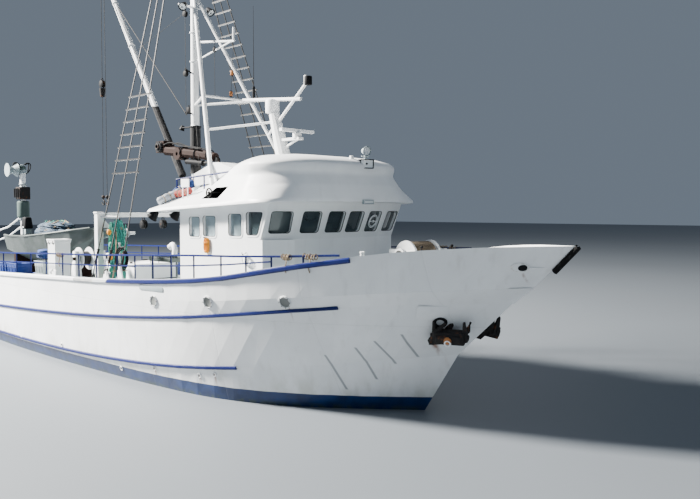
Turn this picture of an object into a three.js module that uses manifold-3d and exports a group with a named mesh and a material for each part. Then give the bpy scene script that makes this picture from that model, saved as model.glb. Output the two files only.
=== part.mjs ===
import * as THREE from 'three';
import { mergeVertices } from 'three/addons/utils/BufferGeometryUtils.js';
import Module from 'manifold-3d';

const wasm = await Module();
wasm.setup();

// Frame: origin on the waterline amidships, +X bow, +Y port, +Z up, lengths in metres until the end
const MM = 1000;
const FIT = 0.0004;
const PIN_GAP = 0.0025;
const SEAT = 0.0003;
const SIDES = [['starboard', -1], ['port', 1]];
const TRANSOM_X = -11.75;
const HULL_STEPS = 40;

// Hull level lines from keel to sheer, with values at shares of the length from transom to stem
const SHARES = [0, 0.12, 0.25, 0.4, 0.55, 0.7, 0.8, 0.88, 0.94, 1];
const LEVELS = [
  { name: 'keel', aft: -11.0, stem: 6.6,
    y: [0.1, 0.1, 0.1, 0.1, 0.1, 0.1, 0.1, 0.1, 0.08, 0],
    z: [-0.32, -0.8, -1.5, -2.1, -2.3, -2.3, -2.28, -2.22, -2.12, -1.95] },
  { name: 'garboard', aft: -11.1, stem: 7.1,
    y: [0.7, 0.9, 1.2, 1.55, 1.6, 1.35, 1.0, 0.66, 0.34, 0],
    z: [-0.3, -0.68, -1.25, -1.8, -1.98, -1.98, -1.92, -1.82, -1.72, -1.6] },
  { name: 'bilge', aft: -11.2, stem: 7.65,
    y: [1.5, 2.05, 2.5, 2.68, 2.65, 2.35, 1.85, 1.22, 0.62, 0],
    z: [-0.22, -0.5, -0.9, -1.2, -1.32, -1.35, -1.32, -1.24, -1.14, -1.0] },
  { name: 'under_water', aft: -11.35, stem: 8.0,
    y: [1.85, 2.45, 2.76, 2.87, 2.83, 2.62, 2.28, 1.62, 0.85, 0],
    z: [-0.12, -0.25, -0.42, -0.55, -0.6, -0.62, -0.62, -0.6, -0.55, -0.5] },
  { name: 'waterline', aft: -11.5, stem: 8.3,
    y: [2.1, 2.65, 2.9, 2.97, 2.93, 2.77, 2.5, 1.85, 1.0, 0],
    z: [0, 0, 0, 0, 0, 0, 0, 0, 0, 0] },
  { name: 'low_strake', aft: -11.6, stem: 9.15,
    y: [2.36, 2.82, 3.03, 3.1, 3.06, 2.9, 2.5, 1.78, 0.96, 0],
    z: [0.27, 0.3, 0.35, 0.37, 0.43, 0.59, 0.77, 0.95, 1.12, 1.28] },
  { name: 'middle_strake', aft: -11.7, stem: 10.42,
    y: [2.5, 2.9, 3.09, 3.17, 3.14, 2.96, 2.52, 1.85, 1.06, 0],
    z: [1.02, 1.1, 1.2, 1.34, 1.52, 1.8, 2.06, 2.27, 2.36, 2.42] },
  { name: 'deck', aft: -11.74, stem: 10.87,
    y: [2.53, 2.93, 3.1, 3.18, 3.16, 2.98, 2.55, 1.85, 1.08, 0],
    z: [1.78, 1.82, 1.88, 1.95, 2.05, 2.18, 2.38, 2.55, 2.66, 2.74] },
  { name: 'sheer', aft: TRANSOM_X, stem: 11.75,
    y: [2.55, 2.95, 3.12, 3.2, 3.17, 2.95, 2.45, 1.7, 0.95, 0],
    z: [2.15, 2.18, 2.26, 2.38, 2.5, 2.74, 3.12, 3.38, 3.49, 3.54] },
];
const DECK = LEVELS.length - 2;
const SHEER = LEVELS.length - 1;

const BULWARK_THICK = 0.08;
const RAIL = { radius: 0.024, post: 0.02, inset: 0.045, end_x: 7.9 };
const RAIL_TOP = [
  [-11.6, 2.74], [-6.3, 2.84], [-2.75, 2.96], [0, 3.03], [2.66, 3.13], [4.4, 3.19], [6.1, 3.22], [7.9, 3.3],
];

const HOUSE = {
  aft: 2.37, corner: 5.46, half: 2.085, bulge: 0.31, sill: 3.53, top: 4.45, lean: 0.386, wall: 0.06,
};
const ROOF = {
  aft: 1.2, half: 2.4, front: 6.2, bulge: 0.22, low: 4.12, rise: 0.045, crown: 5.47, centre: 4.3,
};
const MAST = { x: -0.05, top: 12.1, r: 0.115, sleeve_r: 0.145, sleeve_lo: 5.2, sleeve_hi: 6.5 };

// Small tools
const V = (x, y, z) => new THREE.Vector3(x, y, z);
const lerp = (a, b, t) => a + (b - a) * t;

function hermite(xs, ys, x) {
  const n = xs.length;
  const slope = (i) => {
    const a = Math.max(0, i - 1);
    const b = Math.min(n - 1, i + 1);
    return (ys[b] - ys[a]) / (xs[b] - xs[a]);
  };
  let i = 0;
  while (i < n - 2 && x > xs[i + 1]) i += 1;
  const h = xs[i + 1] - xs[i];
  const t = (x - xs[i]) / h;
  const t2 = t * t;
  const t3 = t2 * t;
  return (2 * t3 - 3 * t2 + 1) * ys[i] + (t3 - 2 * t2 + t) * h * slope(i)
    + (3 * t2 - 2 * t3) * ys[i + 1] + (t3 - t2) * h * slope(i + 1);
}

function broken(rows, x) {
  let i = 0;
  while (i < rows.length - 2 && x > rows[i + 1][0]) i += 1;
  return lerp(rows[i][1], rows[i + 1][1], (x - rows[i][0]) / (rows[i + 1][0] - rows[i][0]));
}

function levelPoint(k, t, side, inset = 0) {
  const row = LEVELS[k];
  const y = t === 1 ? 0 : Math.max(0, hermite(SHARES, row.y, t) - inset);
  return V(lerp(row.aft, row.stem, t), side * y, hermite(SHARES, row.z, t));
}

function solidFrom(points, faces) {
  const flat = new Float32Array(faces.length * 9);
  let n = 0;
  for (const f of faces) {
    const [a, b, c] = f.map((i) => points[i]);
    const area = V(0, 0, 0).crossVectors(b.clone().sub(a), c.clone().sub(a)).length();
    if (area < 1e-9) continue;
    for (const p of [a, b, c]) {
      flat[n] = p.x;
      flat[n + 1] = p.y;
      flat[n + 2] = p.z;
      n += 3;
    }
  }
  const g = new THREE.BufferGeometry();
  g.setAttribute('position', new THREE.BufferAttribute(flat.slice(0, n), 3));
  return toSolid(g);
}

function toSolid(geometry) {
  let g = geometry.clone();
  for (const name of Object.keys(g.attributes)) {
    if (name !== 'position') g.deleteAttribute(name);
  }
  if (g.index) g = g.toNonIndexed();
  g = mergeVertices(g, 1e-6);
  const index = g.index.array;
  const tris = [];
  for (let i = 0; i < index.length; i += 3) {
    const [a, b, c] = [index[i], index[i + 1], index[i + 2]];
    if (a !== b && b !== c && a !== c) tris.push(a, b, c);
  }
  const solid = (turned) => {
    const order = turned ? tris.map((v, i) => tris[i - (i % 3) + 2 - (i % 3)]) : tris;
    return new wasm.Manifold(new wasm.Mesh({
      numProp: 3,
      vertProperties: new Float32Array(g.attributes.position.array),
      triVerts: new Uint32Array(order),
    }));
  };
  const m = solid(false);
  if (m.volume() < 0) return solid(true);
  return m;
}

function rings(list) {
  const n = list[0].length;
  const points = list.flat();
  const faces = [];
  for (let r = 0; r < list.length - 1; r += 1) {
    for (let i = 0; i < n; i += 1) {
      const j = (i + 1) % n;
      const a = r * n + i;
      const b = r * n + j;
      const c = (r + 1) * n + j;
      const d = (r + 1) * n + i;
      faces.push([a, b, c], [a, c, d]);
    }
  }
  const cap = (r, flip) => {
    const base = r * n;
    const mid = points.length;
    const centre = V(0, 0, 0);
    for (let i = 0; i < n; i += 1) centre.add(points[base + i]);
    points.push(centre.multiplyScalar(1 / n));
    const area = V(0, 0, 0);
    for (let i = 0; i < n; i += 1) {
      const a = points[base + i].clone().sub(points[mid]);
      const b = points[base + ((i + 1) % n)].clone().sub(points[mid]);
      area.add(V(0, 0, 0).crossVectors(a, b));
    }
    if (area.length() < 1e-6) return;
    for (let i = 0; i < n; i += 1) {
      const j = (i + 1) % n;
      faces.push(flip ? [mid, base + j, base + i] : [mid, base + i, base + j]);
    }
  };
  cap(0, true);
  cap(list.length - 1, false);
  return solidFrom(points, faces);
}

function tube(path, radius, sides = 8) {
  const list = path.map((p, i) => {
    const a = path[Math.max(0, i - 1)];
    const b = path[Math.min(path.length - 1, i + 1)];
    const dir = b.clone().sub(a).normalize();
    const ref = Math.abs(dir.z) > 0.9 ? V(1, 0, 0) : V(0, 0, 1);
    const u = V(0, 0, 0).crossVectors(dir, ref).normalize();
    const v = V(0, 0, 0).crossVectors(dir, u).normalize();
    const r = Array.isArray(radius) ? lerp(radius[0], radius[1], i / (path.length - 1)) : radius;
    const ring = [];
    for (let s = 0; s < sides; s += 1) {
      const w = (2 * Math.PI * (s + 0.5)) / sides;
      ring.push(p.clone().addScaledVector(u, r * Math.cos(w)).addScaledVector(v, r * Math.sin(w)));
    }
    return ring;
  });
  return rings(list);
}

function box(x0, x1, y0, y1, z0, z1) {
  const g = new THREE.BoxGeometry(x1 - x0, y1 - y0, z1 - z0);
  g.translate((x0 + x1) / 2, (y0 + y1) / 2, (z0 + z1) / 2);
  return toSolid(g);
}

function lathe(profile, sides, at, dir) {
  const pts = profile.map(([r, h]) => new THREE.Vector2(r, h));
  const g = new THREE.LatheGeometry(pts, sides);
  const q = new THREE.Quaternion().setFromUnitVectors(V(0, 1, 0), V(...dir).normalize());
  g.applyQuaternion(q);
  g.translate(...at);
  return toSolid(g);
}

function bar(at, dir, length, radius, sides = 20) {
  return lathe([[0, 0], [radius, 0], [radius, length], [0, length]], sides, at, dir);
}

// A flat outline in x and z, given thickness across the boat
function sideCut(outline, y0, y1) {
  const shape = new THREE.Shape(outline.map(([x, z]) => new THREE.Vector2(x, z)));
  const g = new THREE.ExtrudeGeometry(shape, { depth: y1 - y0, bevelEnabled: false });
  g.rotateX(Math.PI / 2);
  g.translate(0, y1, 0);
  return toSolid(g);
}

// A flat outline in x and y, given height
function planCut(outline, z0, z1) {
  const shape = new THREE.Shape(outline.map(([x, y]) => new THREE.Vector2(x, y)));
  const g = new THREE.ExtrudeGeometry(shape, { depth: z1 - z0, bevelEnabled: false });
  g.translate(0, 0, z0);
  return toSolid(g);
}

function joined(list) {
  return list.reduce((a, b) => a.add(b));
}

function biggest(solid) {
  const bodies = solid.decompose();
  return bodies.sort((a, b) => b.volume() - a.volume())[0];
}

const group = new THREE.Group();
group.name = 'motor_fishing_vessel';
const made = {};

function put(name, solid, colour, roughness = 0.5, metalness = 0) {
  made[name] = solid;
  const mesh = solid.getMesh();
  const g = new THREE.BufferGeometry();
  const position = new Float32Array(mesh.numVert * 3);
  for (let i = 0; i < mesh.numVert; i += 1) {
    for (let k = 0; k < 3; k += 1) position[i * 3 + k] = mesh.vertProperties[i * mesh.numProp + k] * MM;
  }
  g.setAttribute('position', new THREE.BufferAttribute(position, 3));
  g.setIndex(new THREE.BufferAttribute(new Uint32Array(mesh.triVerts), 1));
  const flat = g.toNonIndexed();
  flat.computeVertexNormals();
  const material = new THREE.MeshStandardMaterial({ color: colour, roughness, metalness });
  const node = new THREE.Mesh(flat, material);
  node.name = name;
  group.add(node);
}

const WHITE = 0xe8ebee;
const BLUE = 0x1f3f9e;
const GREY = 0x9aa2a8;
const BLACK = 0x18191b;
const BROWN = 0x6b4630;
const GLASS = 0x1b242c;

// Hull body, keel bar and stern gear
function loftedBody(low, high, inset = 0, drop = 0, lift = drop) {
  const list = [];
  for (let i = 0; i <= HULL_STEPS; i += 1) {
    const t = i / HULL_STEPS;
    const ring = [];
    for (let k = low; k <= high; k += 1) ring.push(levelPoint(k, t, -1, inset));
    for (let k = high; k >= low; k -= 1) ring.push(levelPoint(k, t, 1, inset));
    ring[0].z -= drop;
    ring[ring.length - 1].z -= drop;
    ring[high - low].z += lift;
    ring[high - low + 1].z += lift;
    list.push(ring);
  }
  return rings(list.map((r) => r.reverse()));
}

const SHAFT = { z: -1.85, r: 0.07, post_x: -7.75, prop_x: -8.3, prop_r: 0.7 };
const STOCK = { x: -9.35, r: 0.06 };

function hullSolid() {
  const body = loftedBody(0, DECK);
  const keel = sideCut([
    [6.5, -1.9], [5.5, -2.45], [4.6, -2.6], [-9.85, -2.75], [-9.85, -2.6], [-8.0, -2.6],
    [-7.75, -2.3], [-7.75, -0.9], [-6.0, -0.9], [6.0, -1.2],
  ].reverse(), -0.1, 0.1);
  const bossEnd = [SHAFT.post_x - 0.12, 0, SHAFT.z];
  const boss = lathe([[0, 0], [0.13, 0], [0.2, 0.9], [0, 1.3]], 20, bossEnd, [1, 0, 0]);
  const bore = bar([SHAFT.post_x - 0.4, 0, SHAFT.z], [1, 0, 0], 1.1, SHAFT.r + PIN_GAP);
  const trunk = bar([STOCK.x, 0, -1.2], [0, 0, 1], 0.86, STOCK.r + PIN_GAP);
  const pintle = bar([STOCK.x, 0, -2.63], [0, 0, 1], 0.09, 0.04, 16);
  return joined([body, keel, boss]).subtract(bore).subtract(trunk).add(pintle);
}

const hull = hullSolid();
put('hull', hull, WHITE);
const hullFit = loftedBody(0, DECK, -FIT, 0, FIT).add(box(-9, 6, -0.1 - FIT, 0.1 + FIT, -2.7, -1));
const sideFit = loftedBody(0, SHEER, -FIT);
const railFit = loftedBody(0, SHEER, -FIT, 0, FIT);
const stemFit = sideFit.translate([0.001, 0, FIT]);

const deckZ = (x) => {
  const row = LEVELS[DECK];
  const t = (x - row.aft) / (row.stem - row.aft);
  return hermite(SHARES, row.z, Math.min(1, Math.max(0, t)));
};
const sheerAt = (x, side, inset = 0) => {
  const row = LEVELS[SHEER];
  return levelPoint(SHEER, (x - row.aft) / (row.stem - row.aft), side, inset);
};

// Bulwarks: a shell above the deck in four lengths
const shell = loftedBody(DECK, SHEER, 0, -FIT, 0).subtract(loftedBody(DECK, SHEER, BULWARK_THICK, 0.1));
const STERN_X = -11.66;
const sternWall = loftedBody(DECK, SHEER, 0, -FIT, 0).intersect(box(-12, STERN_X, -3, 3, 1, 3));
const BOW_SPLIT = 7.0;
put('bow_bulwark', biggest(shell.intersect(box(BOW_SPLIT, 12, -3, 3, 1, 4))), WHITE);
for (const [side, s] of SIDES) {
  const half = s < 0 ? box(STERN_X, BOW_SPLIT, -4, -0.5, 1, 4) : box(STERN_X, BOW_SPLIT, 0.5, 4, 1, 4);
  put(`${side}_bulwark`, biggest(shell.intersect(half)), WHITE);
}
put('stern_bulwark', biggest(sternWall), WHITE);

// Rubbing strakes: half-round bars along three level lines
const STRAKES = [
  { name: 'gunwale_strake', level: SHEER, from: 0.005, to: 0.846, r: 0.055, drop: 0.062 },
  { name: 'middle_strake', level: 6, from: 0.01, to: 0.875, r: 0.045, drop: 0 },
  { name: 'low_strake', level: 5, from: 0.01, to: 0.805, r: 0.045, drop: 0 },
];
for (const row of STRAKES) {
  for (const [side, s] of SIDES) {
    const path = [];
    for (let i = 0; i <= 20; i += 1) {
      const p = levelPoint(row.level, lerp(row.from, row.to, i / 20), s);
      p.z -= row.drop;
      path.push(p);
    }
    put(`${side}_${row.name}`, biggest(tube(path, row.r, 6).subtract(sideFit)), BLUE);
  }
}

// Deck rails with posts on the bulwark top
const RAIL_POSTS = [
  -11.5, -10.4, -9.3, -8.2, -7.1, -6.0, -4.9, -3.8, -2.75, -1.7, -0.75, 0.2, 1.2, 2.0, 2.75, 3.45,
  4.25, 5.1, 5.79, 6.43, 7.16,
];
function railSolid(s) {
  const parts = [];
  const height = (x) => broken(RAIL_TOP, x);
  const line = (share, x0, x1) => {
    const path = [];
    for (let i = 0; i <= 16; i += 1) {
      const x = lerp(x0, x1, i / 16);
      const p = sheerAt(x, s, RAIL.inset);
      p.z = lerp(p.z, height(x), share);
      path.push(p);
    }
    return path;
  };
  parts.push(tube(line(1, -11.5, RAIL.end_x), RAIL.radius, 5));
  parts.push(tube(line(0.55, -11.5, 6.4), 0.018, 5));
  for (const x of RAIL_POSTS) {
    const p = sheerAt(x, s, RAIL.inset);
    parts.push(tube([p.clone().setZ(p.z - 0.05), p.clone().setZ(height(x))], RAIL.post, 5));
  }
  return joined(parts).subtract(railFit);
}
for (const [side, s] of SIDES) put(`${side}_rail`, biggest(railSolid(s)), BLUE);

// Stem fender
const fender = tube([V(11.28, 0, 3.06), V(11.5, 0, 3.28), V(11.74, 0, 3.52)], 0.06, 10);
put('stem_fender', biggest(fender.subtract(stemFit)), BLACK, 0.8);

// Wheelhouse shell: one plan outline lofted with a forward-leaning window band
function houseOutline(z, inset, lean) {
  const half = HOUSE.half - inset;
  const front = HOUSE.corner - inset * 0.8 + lean;
  const pts = [V(HOUSE.aft + inset, half, z), V(HOUSE.aft + inset, -half, z)];
  for (let i = 0; i <= 12; i += 1) {
    const w = -1 + i / 6;
    pts.push(V(front + HOUSE.bulge * (1 - w * w), half * w, z));
  }
  return pts;
}
const leanAt = (z) => HOUSE.lean * Math.max(0, (z - HOUSE.sill) / (HOUSE.top - HOUSE.sill));
function houseBody(inset, z0 = 1.8, z1 = HOUSE.top) {
  const ring = (z) => houseOutline(z, inset, leanAt(z));
  const zs = [z0, HOUSE.sill, z1].filter((z, i, all) => i === 0 || z > all[i - 1]);
  return rings(zs.map(ring));
}

function roundedPane(w, h, r) {
  const s = new THREE.Shape();
  s.moveTo(-w / 2 + r, -h / 2);
  s.lineTo(w / 2 - r, -h / 2);
  s.absarc(w / 2 - r, -h / 2 + r, r, -Math.PI / 2, 0);
  s.lineTo(w / 2, h / 2 - r);
  s.absarc(w / 2 - r, h / 2 - r, r, 0, Math.PI / 2);
  s.lineTo(-w / 2 + r, h / 2);
  s.absarc(-w / 2 + r, h / 2 - r, r, Math.PI / 2, Math.PI);
  s.lineTo(-w / 2, -h / 2 + r);
  s.absarc(-w / 2 + r, -h / 2 + r, r, Math.PI, 1.5 * Math.PI);
  return s;
}
function paneCutter(w, h, x, y, z, yaw) {
  const settings = { depth: 0.7, bevelEnabled: false, curveSegments: 3 };
  const g = new THREE.ExtrudeGeometry(roundedPane(w, h, 0.07), settings);
  g.translate(0, 0, -0.35);
  g.rotateX(Math.PI / 2);
  g.rotateZ(yaw);
  g.translate(x, y, z);
  return toSolid(g);
}

// Side windows by lower and upper ends, fore and aft; front windows by their place across and width
const SIDE_PANES = [
  { aft: 2.78, fore: 3.21, fore_top: 3.21, low: 3.55, high: 4.005 },
  { aft: 3.35, fore: 3.84, fore_top: 3.84, low: 3.57, high: 4.03 },
  { aft: 4.34, fore: 4.81, fore_top: 4.81, low: 3.6, high: 4.08 },
  { aft: 4.99, fore: 5.38, fore_top: 5.57, low: 3.63, high: 4.12 },
];
const FRONT_PANES = [
  { y: -1.725, w: 0.52 }, { y: -0.99, w: 0.49 }, { y: -0.31, w: 0.49 },
  { y: 0.31, w: 0.49 }, { y: 0.99, w: 0.49 }, { y: 1.725, w: 0.52 },
];
const FRONT_PANE = { z: 3.907, h: 0.465 };
const HINGE = { x: 2.34, y: -1.3, r: 0.012, knuckle: 0.022 };
const DOOR = { y0: -1.25, y1: -0.55, top: 4.0, sill: 2.35 };

function roundedCorners(points, r) {
  const list = [];
  points.forEach(([x, z], i) => {
    const [px, pz] = points[(i + points.length - 1) % points.length];
    const [nx, nz] = points[(i + 1) % points.length];
    const p = Math.hypot(px - x, pz - z);
    const n = Math.hypot(nx - x, nz - z);
    const start = [lerp(x, px, r / p), lerp(z, pz, r / p)];
    const end = [lerp(x, nx, r / n), lerp(z, nz, r / n)];
    for (let k = 0; k <= 3; k += 1) {
      const t = k / 3;
      const u = 1 - t;
      list.push([0, 1].map((a) => u * u * start[a] + 2 * u * t * [x, z][a] + t * t * end[a]));
    }
  });
  return list;
}

function houseShell() {
  let s = houseBody(0).subtract(houseBody(HOUSE.wall, 1.7, HOUSE.top + 0.1));
  for (const p of SIDE_PANES) {
    const corners = [[p.aft, p.low], [p.fore, p.low], [p.fore_top, p.high], [p.aft, p.high]];
    const outline = roundedCorners(corners, 0.05);
    s = s.subtract(sideCut(outline, -3, -1.9)).subtract(sideCut(outline, 1.9, 3));
  }
  for (const p of FRONT_PANES) {
    const w = p.y / HOUSE.half;
    const x = HOUSE.corner + HOUSE.bulge * (1 - w * w) + leanAt(FRONT_PANE.z);
    const yaw = Math.PI / 2 + Math.atan2(2 * HOUSE.bulge * w, HOUSE.half);
    s = s.subtract(paneCutter(p.w, FRONT_PANE.h, x, p.y, FRONT_PANE.z, yaw));
  }
  const doorway = box(2.2, 2.6, DOOR.y0, DOOR.y1, DOOR.sill, DOOR.top);
  const lugs = [2.6, 3.9].map((z) => box(
    HINGE.x - 0.012, HOUSE.aft + 0.01, HINGE.y - 0.02, HINGE.y + 0.02, z - 0.02, z + 0.02));
  const pin = bar([HINGE.x, HINGE.y, 2.59], [0, 0, 1], 1.32, HINGE.r, 12);
  const rest = bar([HINGE.x, HINGE.y, 2.7], [0, 0, 1], 0.05 - SEAT, HINGE.knuckle, 12);
  return joined([s.subtract(doorway).subtract(hullFit), pin, rest, ...lugs]);
}

// Domed roof: outline rings drawn in towards the crown, with a pitched canopy aft
const ROOF_RINGS = [
  { up: 0, front: 0, long: 0, side: 0 },
  { up: 0.04, front: 0, long: 0, side: 0 },
  { up: 0.17, front: 0.034, long: 0.02, side: 0.18 },
  { up: 0.36, front: 0.083, long: 0.06, side: 0.4 },
  { up: 0.555, front: 0.135, long: 0.12, side: 0.56 },
  { up: 0.69, front: 0.12, long: 0.22, side: 0.62 },
  { up: 0.78, front: 0.125, long: 0.3, side: 0.66 },
  { up: 0.86, front: 0.19, long: 0.4, side: 0.7 },
  { up: 0.94, front: 0.36, long: 0.54, side: 0.78 },
  { up: 0.985, front: 0.62, long: 0.72, side: 0.86 },
  { up: 1, front: 0.85, long: 0.9, side: 0.94 },
];
function roofOutline() {
  const { aft, half, front, bulge } = ROOF;
  const edge = [[aft + 0.02, half - 0.12], [aft + 0.12, half]];
  for (const x of [2.2, 3.2, 4.2, 5.1, 5.7]) edge.push([x, half]);
  edge.push([5.89, half - 0.04], [6.05, half - 0.15], [6.16, half - 0.31]);
  for (const y of [1.9, 1.4, 0.7]) edge.push([front + bulge * (1 - (y / 1.9) ** 2), y]);
  const starboard = edge.map(([x, y]) => [x, -y]);
  return [[aft, 0.9], [aft, 0], [aft, -0.9], ...starboard, [front + bulge, 0], ...edge.reverse()];
}
const eaveAt = (x) => ROOF.low + ROOF.rise * (x - ROOF.aft);
function roofSolid(fit = 0) {
  const outline = roofOutline();
  const list = ROOF_RINGS.map((row) => outline.map(([x, y]) => {
    const f = Math.min(1, Math.max(0, (x - 2.0) / 3.2));
    const kx = lerp(row.long, row.front, f) - fit;
    const ky = lerp(row.side, row.front, f) - fit;
    const z = lerp(eaveAt(x), ROOF.crown, row.up);
    return V(lerp(x, ROOF.centre, kx), lerp(y, 0, ky), row.up === 0 ? z - fit : z + fit);
  }));
  return rings(list);
}
const RECESS = { aft: 3.32, fore: 4.14, inner: 1.55, low: 4.43, high: 4.7 };
const roofRecess = (s) => {
  const { aft, fore, inner, low, high } = RECESS;
  return s < 0 ? box(aft, fore, -3, -inner, low, high) : box(aft, fore, inner, 3, low, high);
};
const roof = roofSolid().subtract(roofRecess(-1)).subtract(roofRecess(1));
put('wheelhouse_roof', roof, WHITE);
const roofFit = roofSolid(FIT);

const house = houseShell().subtract(roofFit);
const FRONT_SPLIT = 5.44;
const splitTop = FRONT_SPLIT + leanAt(4.6);
const splitLine = [[FRONT_SPLIT, 1.5], [FRONT_SPLIT, HOUSE.sill], [splitTop, 4.6]];
const aftOfSplit = sideCut([[2, 1.5], ...splitLine, [2, 4.6]], -3, 3);
const foreOfSplit = sideCut([...splitLine, [8, 4.6], [8, 1.5]], -3, 3).translate([FIT, 0, 0]);
put('wheelhouse_walls', biggest(house.intersect(aftOfSplit)), WHITE);
put('wheelhouse_front', biggest(house.intersect(foreOfSplit)), WHITE);

// Glazing behind the window openings
const glass = houseBody(HOUSE.wall + FIT).subtract(houseBody(HOUSE.wall + 0.012, 1.7, HOUSE.top + 0.1));
const GLASS_EDGE = 2.006;
put('front_glazing', biggest(glass.intersect(box(5.3, 7, -2.0, 2.0, 3.6, 4.2))), GLASS, 0.1);
put('starboard_glazing', biggest(glass.intersect(box(2.6, 6, -3, -GLASS_EDGE, 3.49, 4.16))), GLASS, 0.1);
put('port_glazing', biggest(glass.intersect(box(2.6, 6, GLASS_EDGE, 3, 3.49, 4.16))), GLASS, 0.1);

// Aft door on the wheelhouse
function doorSolid() {
  const face = HOUSE.aft - 0.002;
  const leaf = box(face - 0.04, face, HINGE.y, DOOR.y1 + 0.03, DOOR.sill - 0.03, DOOR.top + 0.03);
  const slot = box(2.2, 2.5, HINGE.y - 0.1, HINGE.y + 0.03, 2.2, 4.1);
  const knuckles = [2.75, 3.6].map((z) => bar([HINGE.x, HINGE.y, z], [0, 0, 1], 0.16, HINGE.knuckle, 12));
  const straps = [2.77, 3.62].map((z) => box(
    HINGE.x - 0.02, HINGE.x + 0.01, HINGE.y, HINGE.y + 0.06, z, z + 0.12));
  const bore = bar([HINGE.x, HINGE.y, 2.2], [0, 0, 1], 2, HINGE.r + 0.0015, 12);
  const pane = paneCutter(0.34, 0.4, HOUSE.aft, (DOOR.y0 + DOOR.y1) / 2, 3.6, Math.PI / 2);
  return joined([leaf.subtract(slot).subtract(pane), ...knuckles, ...straps]).subtract(bore);
}
put('wheelhouse_door', doorSolid(), WHITE);

// Casing on the aft end of the roof
const casingBody = (fit) => sideCut([
  [1.66 - fit, 4.3], [3.5 + fit, 4.3], [3.5 + fit, 5.13 + fit], [3.0, 5.26 + fit], [2.72, 5.34 + fit],
  [2.5, 5.34 + fit], [1.66 - fit, 5.09 + fit],
], -1.2 - fit, 1.2 + fit);
put('roof_casing', biggest(casingBody(0).subtract(roofFit)), WHITE);
const topFit = roofFit.add(casingBody(FIT));

// Mast, legs and platform
const mastBody = (fit) => lathe([
  [0, 1.9], [MAST.r + 0.06, 1.9], [MAST.r + 0.06, 2.2], [MAST.r + fit, 2.3],
  [MAST.r + fit, MAST.sleeve_lo - 0.05],
  [MAST.sleeve_r + fit, MAST.sleeve_lo], [MAST.sleeve_r + fit, MAST.sleeve_hi],
  [MAST.r + fit, MAST.sleeve_hi + 0.05], [0.09 + fit, MAST.top], [0, MAST.top],
], 20, [MAST.x, 0, 0], [0, 0, 1]);
const mastFit = mastBody(FIT);
const BOOM = { tip: [-5.3, 0, 11.98] };
const gooseneck = box(-0.62, -0.1, -0.04, 0.04, 4.84, 4.94)
  .add(bar([-0.62, 0, 4.8], [0, 0, 1], 0.3, 0.045, 16));
const JIB = { y: -0.46 };
const jibPin = bar([-0.05, -0.52, 5.72], [0, 1, 0], 0.5, 0.05, 16)
  .add(bar([-0.05, -0.3 + SEAT, 5.72], [0, 1, 0], 0.28, 0.09, 16));
const CROSSTREE = { x: -0.35, z: 11.6, y: 0.6, r: 0.03 };
const spreaderBody = (fit) => {
  const { x, y, z, r } = CROSSTREE;
  const bars = [
    [V(x, -0.66 - fit, z), V(x, 0.66 + fit, z)],
    [V(x, 0, z), V(MAST.x, 0, z)],
    ...SIDES.map(([, s]) => [V(-0.67 - fit, s * y, z), V(-0.04 + fit, s * y, z)]),
  ];
  return joined(bars.map((path) => tube(path, r + fit * 1.2, 8)));
};
const bracket = joined([
  tube([V(MAST.x, 0, 8.84), V(1.8, 0, 8.6)], 0.03, 8),
  tube([V(MAST.x, 0, 8.3), V(1.7, 0, 8.62)], 0.025, 6),
  tube([V(1.76, 0, 8.58), V(1.76, 0, 8.96)], 0.03, 8),
  tube([V(MAST.x, -0.5, 9.8), V(MAST.x, 0.5, 9.8)], 0.03, 8),
]);
put('mast', joined([mastBody(0).subtract(hullFit), gooseneck, jibPin, spreaderBody(0), bracket]), WHITE);
const LEG = {
  foot_x: 2.6, foot_y: 1.32, foot_z: 4.6, roof_z: 4.93, top_x: 0.05, top_y: 0.06, top_z: 10, r: 0.055,
};
const POST = { foot: [3.86, 0, 5.2], top: [3.31, 0, 6.9], foot_r: 0.2, top_r: 0.115 };
const postBody = (fit) => tube([V(...POST.foot), V(...POST.top)], [POST.foot_r + fit, POST.top_r + fit], 12);
function legPoint(s, z) {
  const t = (z - LEG.roof_z) / (LEG.top_z - LEG.roof_z);
  return V(lerp(LEG.foot_x, LEG.top_x, t), s * lerp(LEG.foot_y, LEG.top_y, t), z);
}
function tripodSolid() {
  const parts = [tube([legPoint(-1, 7.13), legPoint(1, 7.13)], 0.035, 8)];
  for (const s of [-1, 1]) {
    parts.push(tube([legPoint(s, LEG.foot_z), legPoint(s, LEG.top_z)], LEG.r, 10));
    parts.push(tube([legPoint(s, 7.13), V(MAST.x, 0, 7.1)], 0.035, 8));
    parts.push(tube([legPoint(s, 6.2), V(3.5, 0, 6.36)], 0.03, 8));
  }
  return joined(parts).subtract(mastFit).subtract(topFit).subtract(postBody(FIT));
}
put('mast_legs', biggest(tripodSolid()), WHITE);

// Cargo boom on its gooseneck
function boomSolid() {
  const spar = tube([V(-0.72, 0, 5.15), V(-2.5, 0, 7.76), V(...BOOM.tip)], [0.11, 0.075], 12);
  const eye = bar([-0.62, 0, 4.9404], [0, 0, 1], 0.13, 0.12, 16);
  const neck = tube([V(-0.66, 0, 5.02), V(-0.85, 0, 5.34)], 0.06, 8);
  const hole = bar([-0.62, 0, 4.7], [0, 0, 1], 0.6, 0.045 + PIN_GAP, 16);
  return joined([spar, eye, neck]).subtract(hole);
}
put('cargo_boom', boomSolid(), WHITE);

// Folded crane jib beside the mast
const jibBeam = tube([V(-0.8, JIB.y, 5.86), V(0.9, JIB.y, 5.66), V(1.55, JIB.y, 5.55)], [0.15, 0.12], 8);
const jibHead = box(-1.15, -0.75, JIB.y - 0.14, JIB.y + 0.14, 5.8, 6.12);
const jibHole = bar([-0.05, -0.7, 5.72], [0, 1, 0], 0.6, 0.05 + PIN_GAP, 16);
const jibHub = bar([-0.05, -0.62, 5.72], [0, 1, 0], 0.32, 0.17, 16);
put('crane_jib', joined([jibBeam, jibHead, jibHub]).subtract(jibHole), BROWN);

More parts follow.
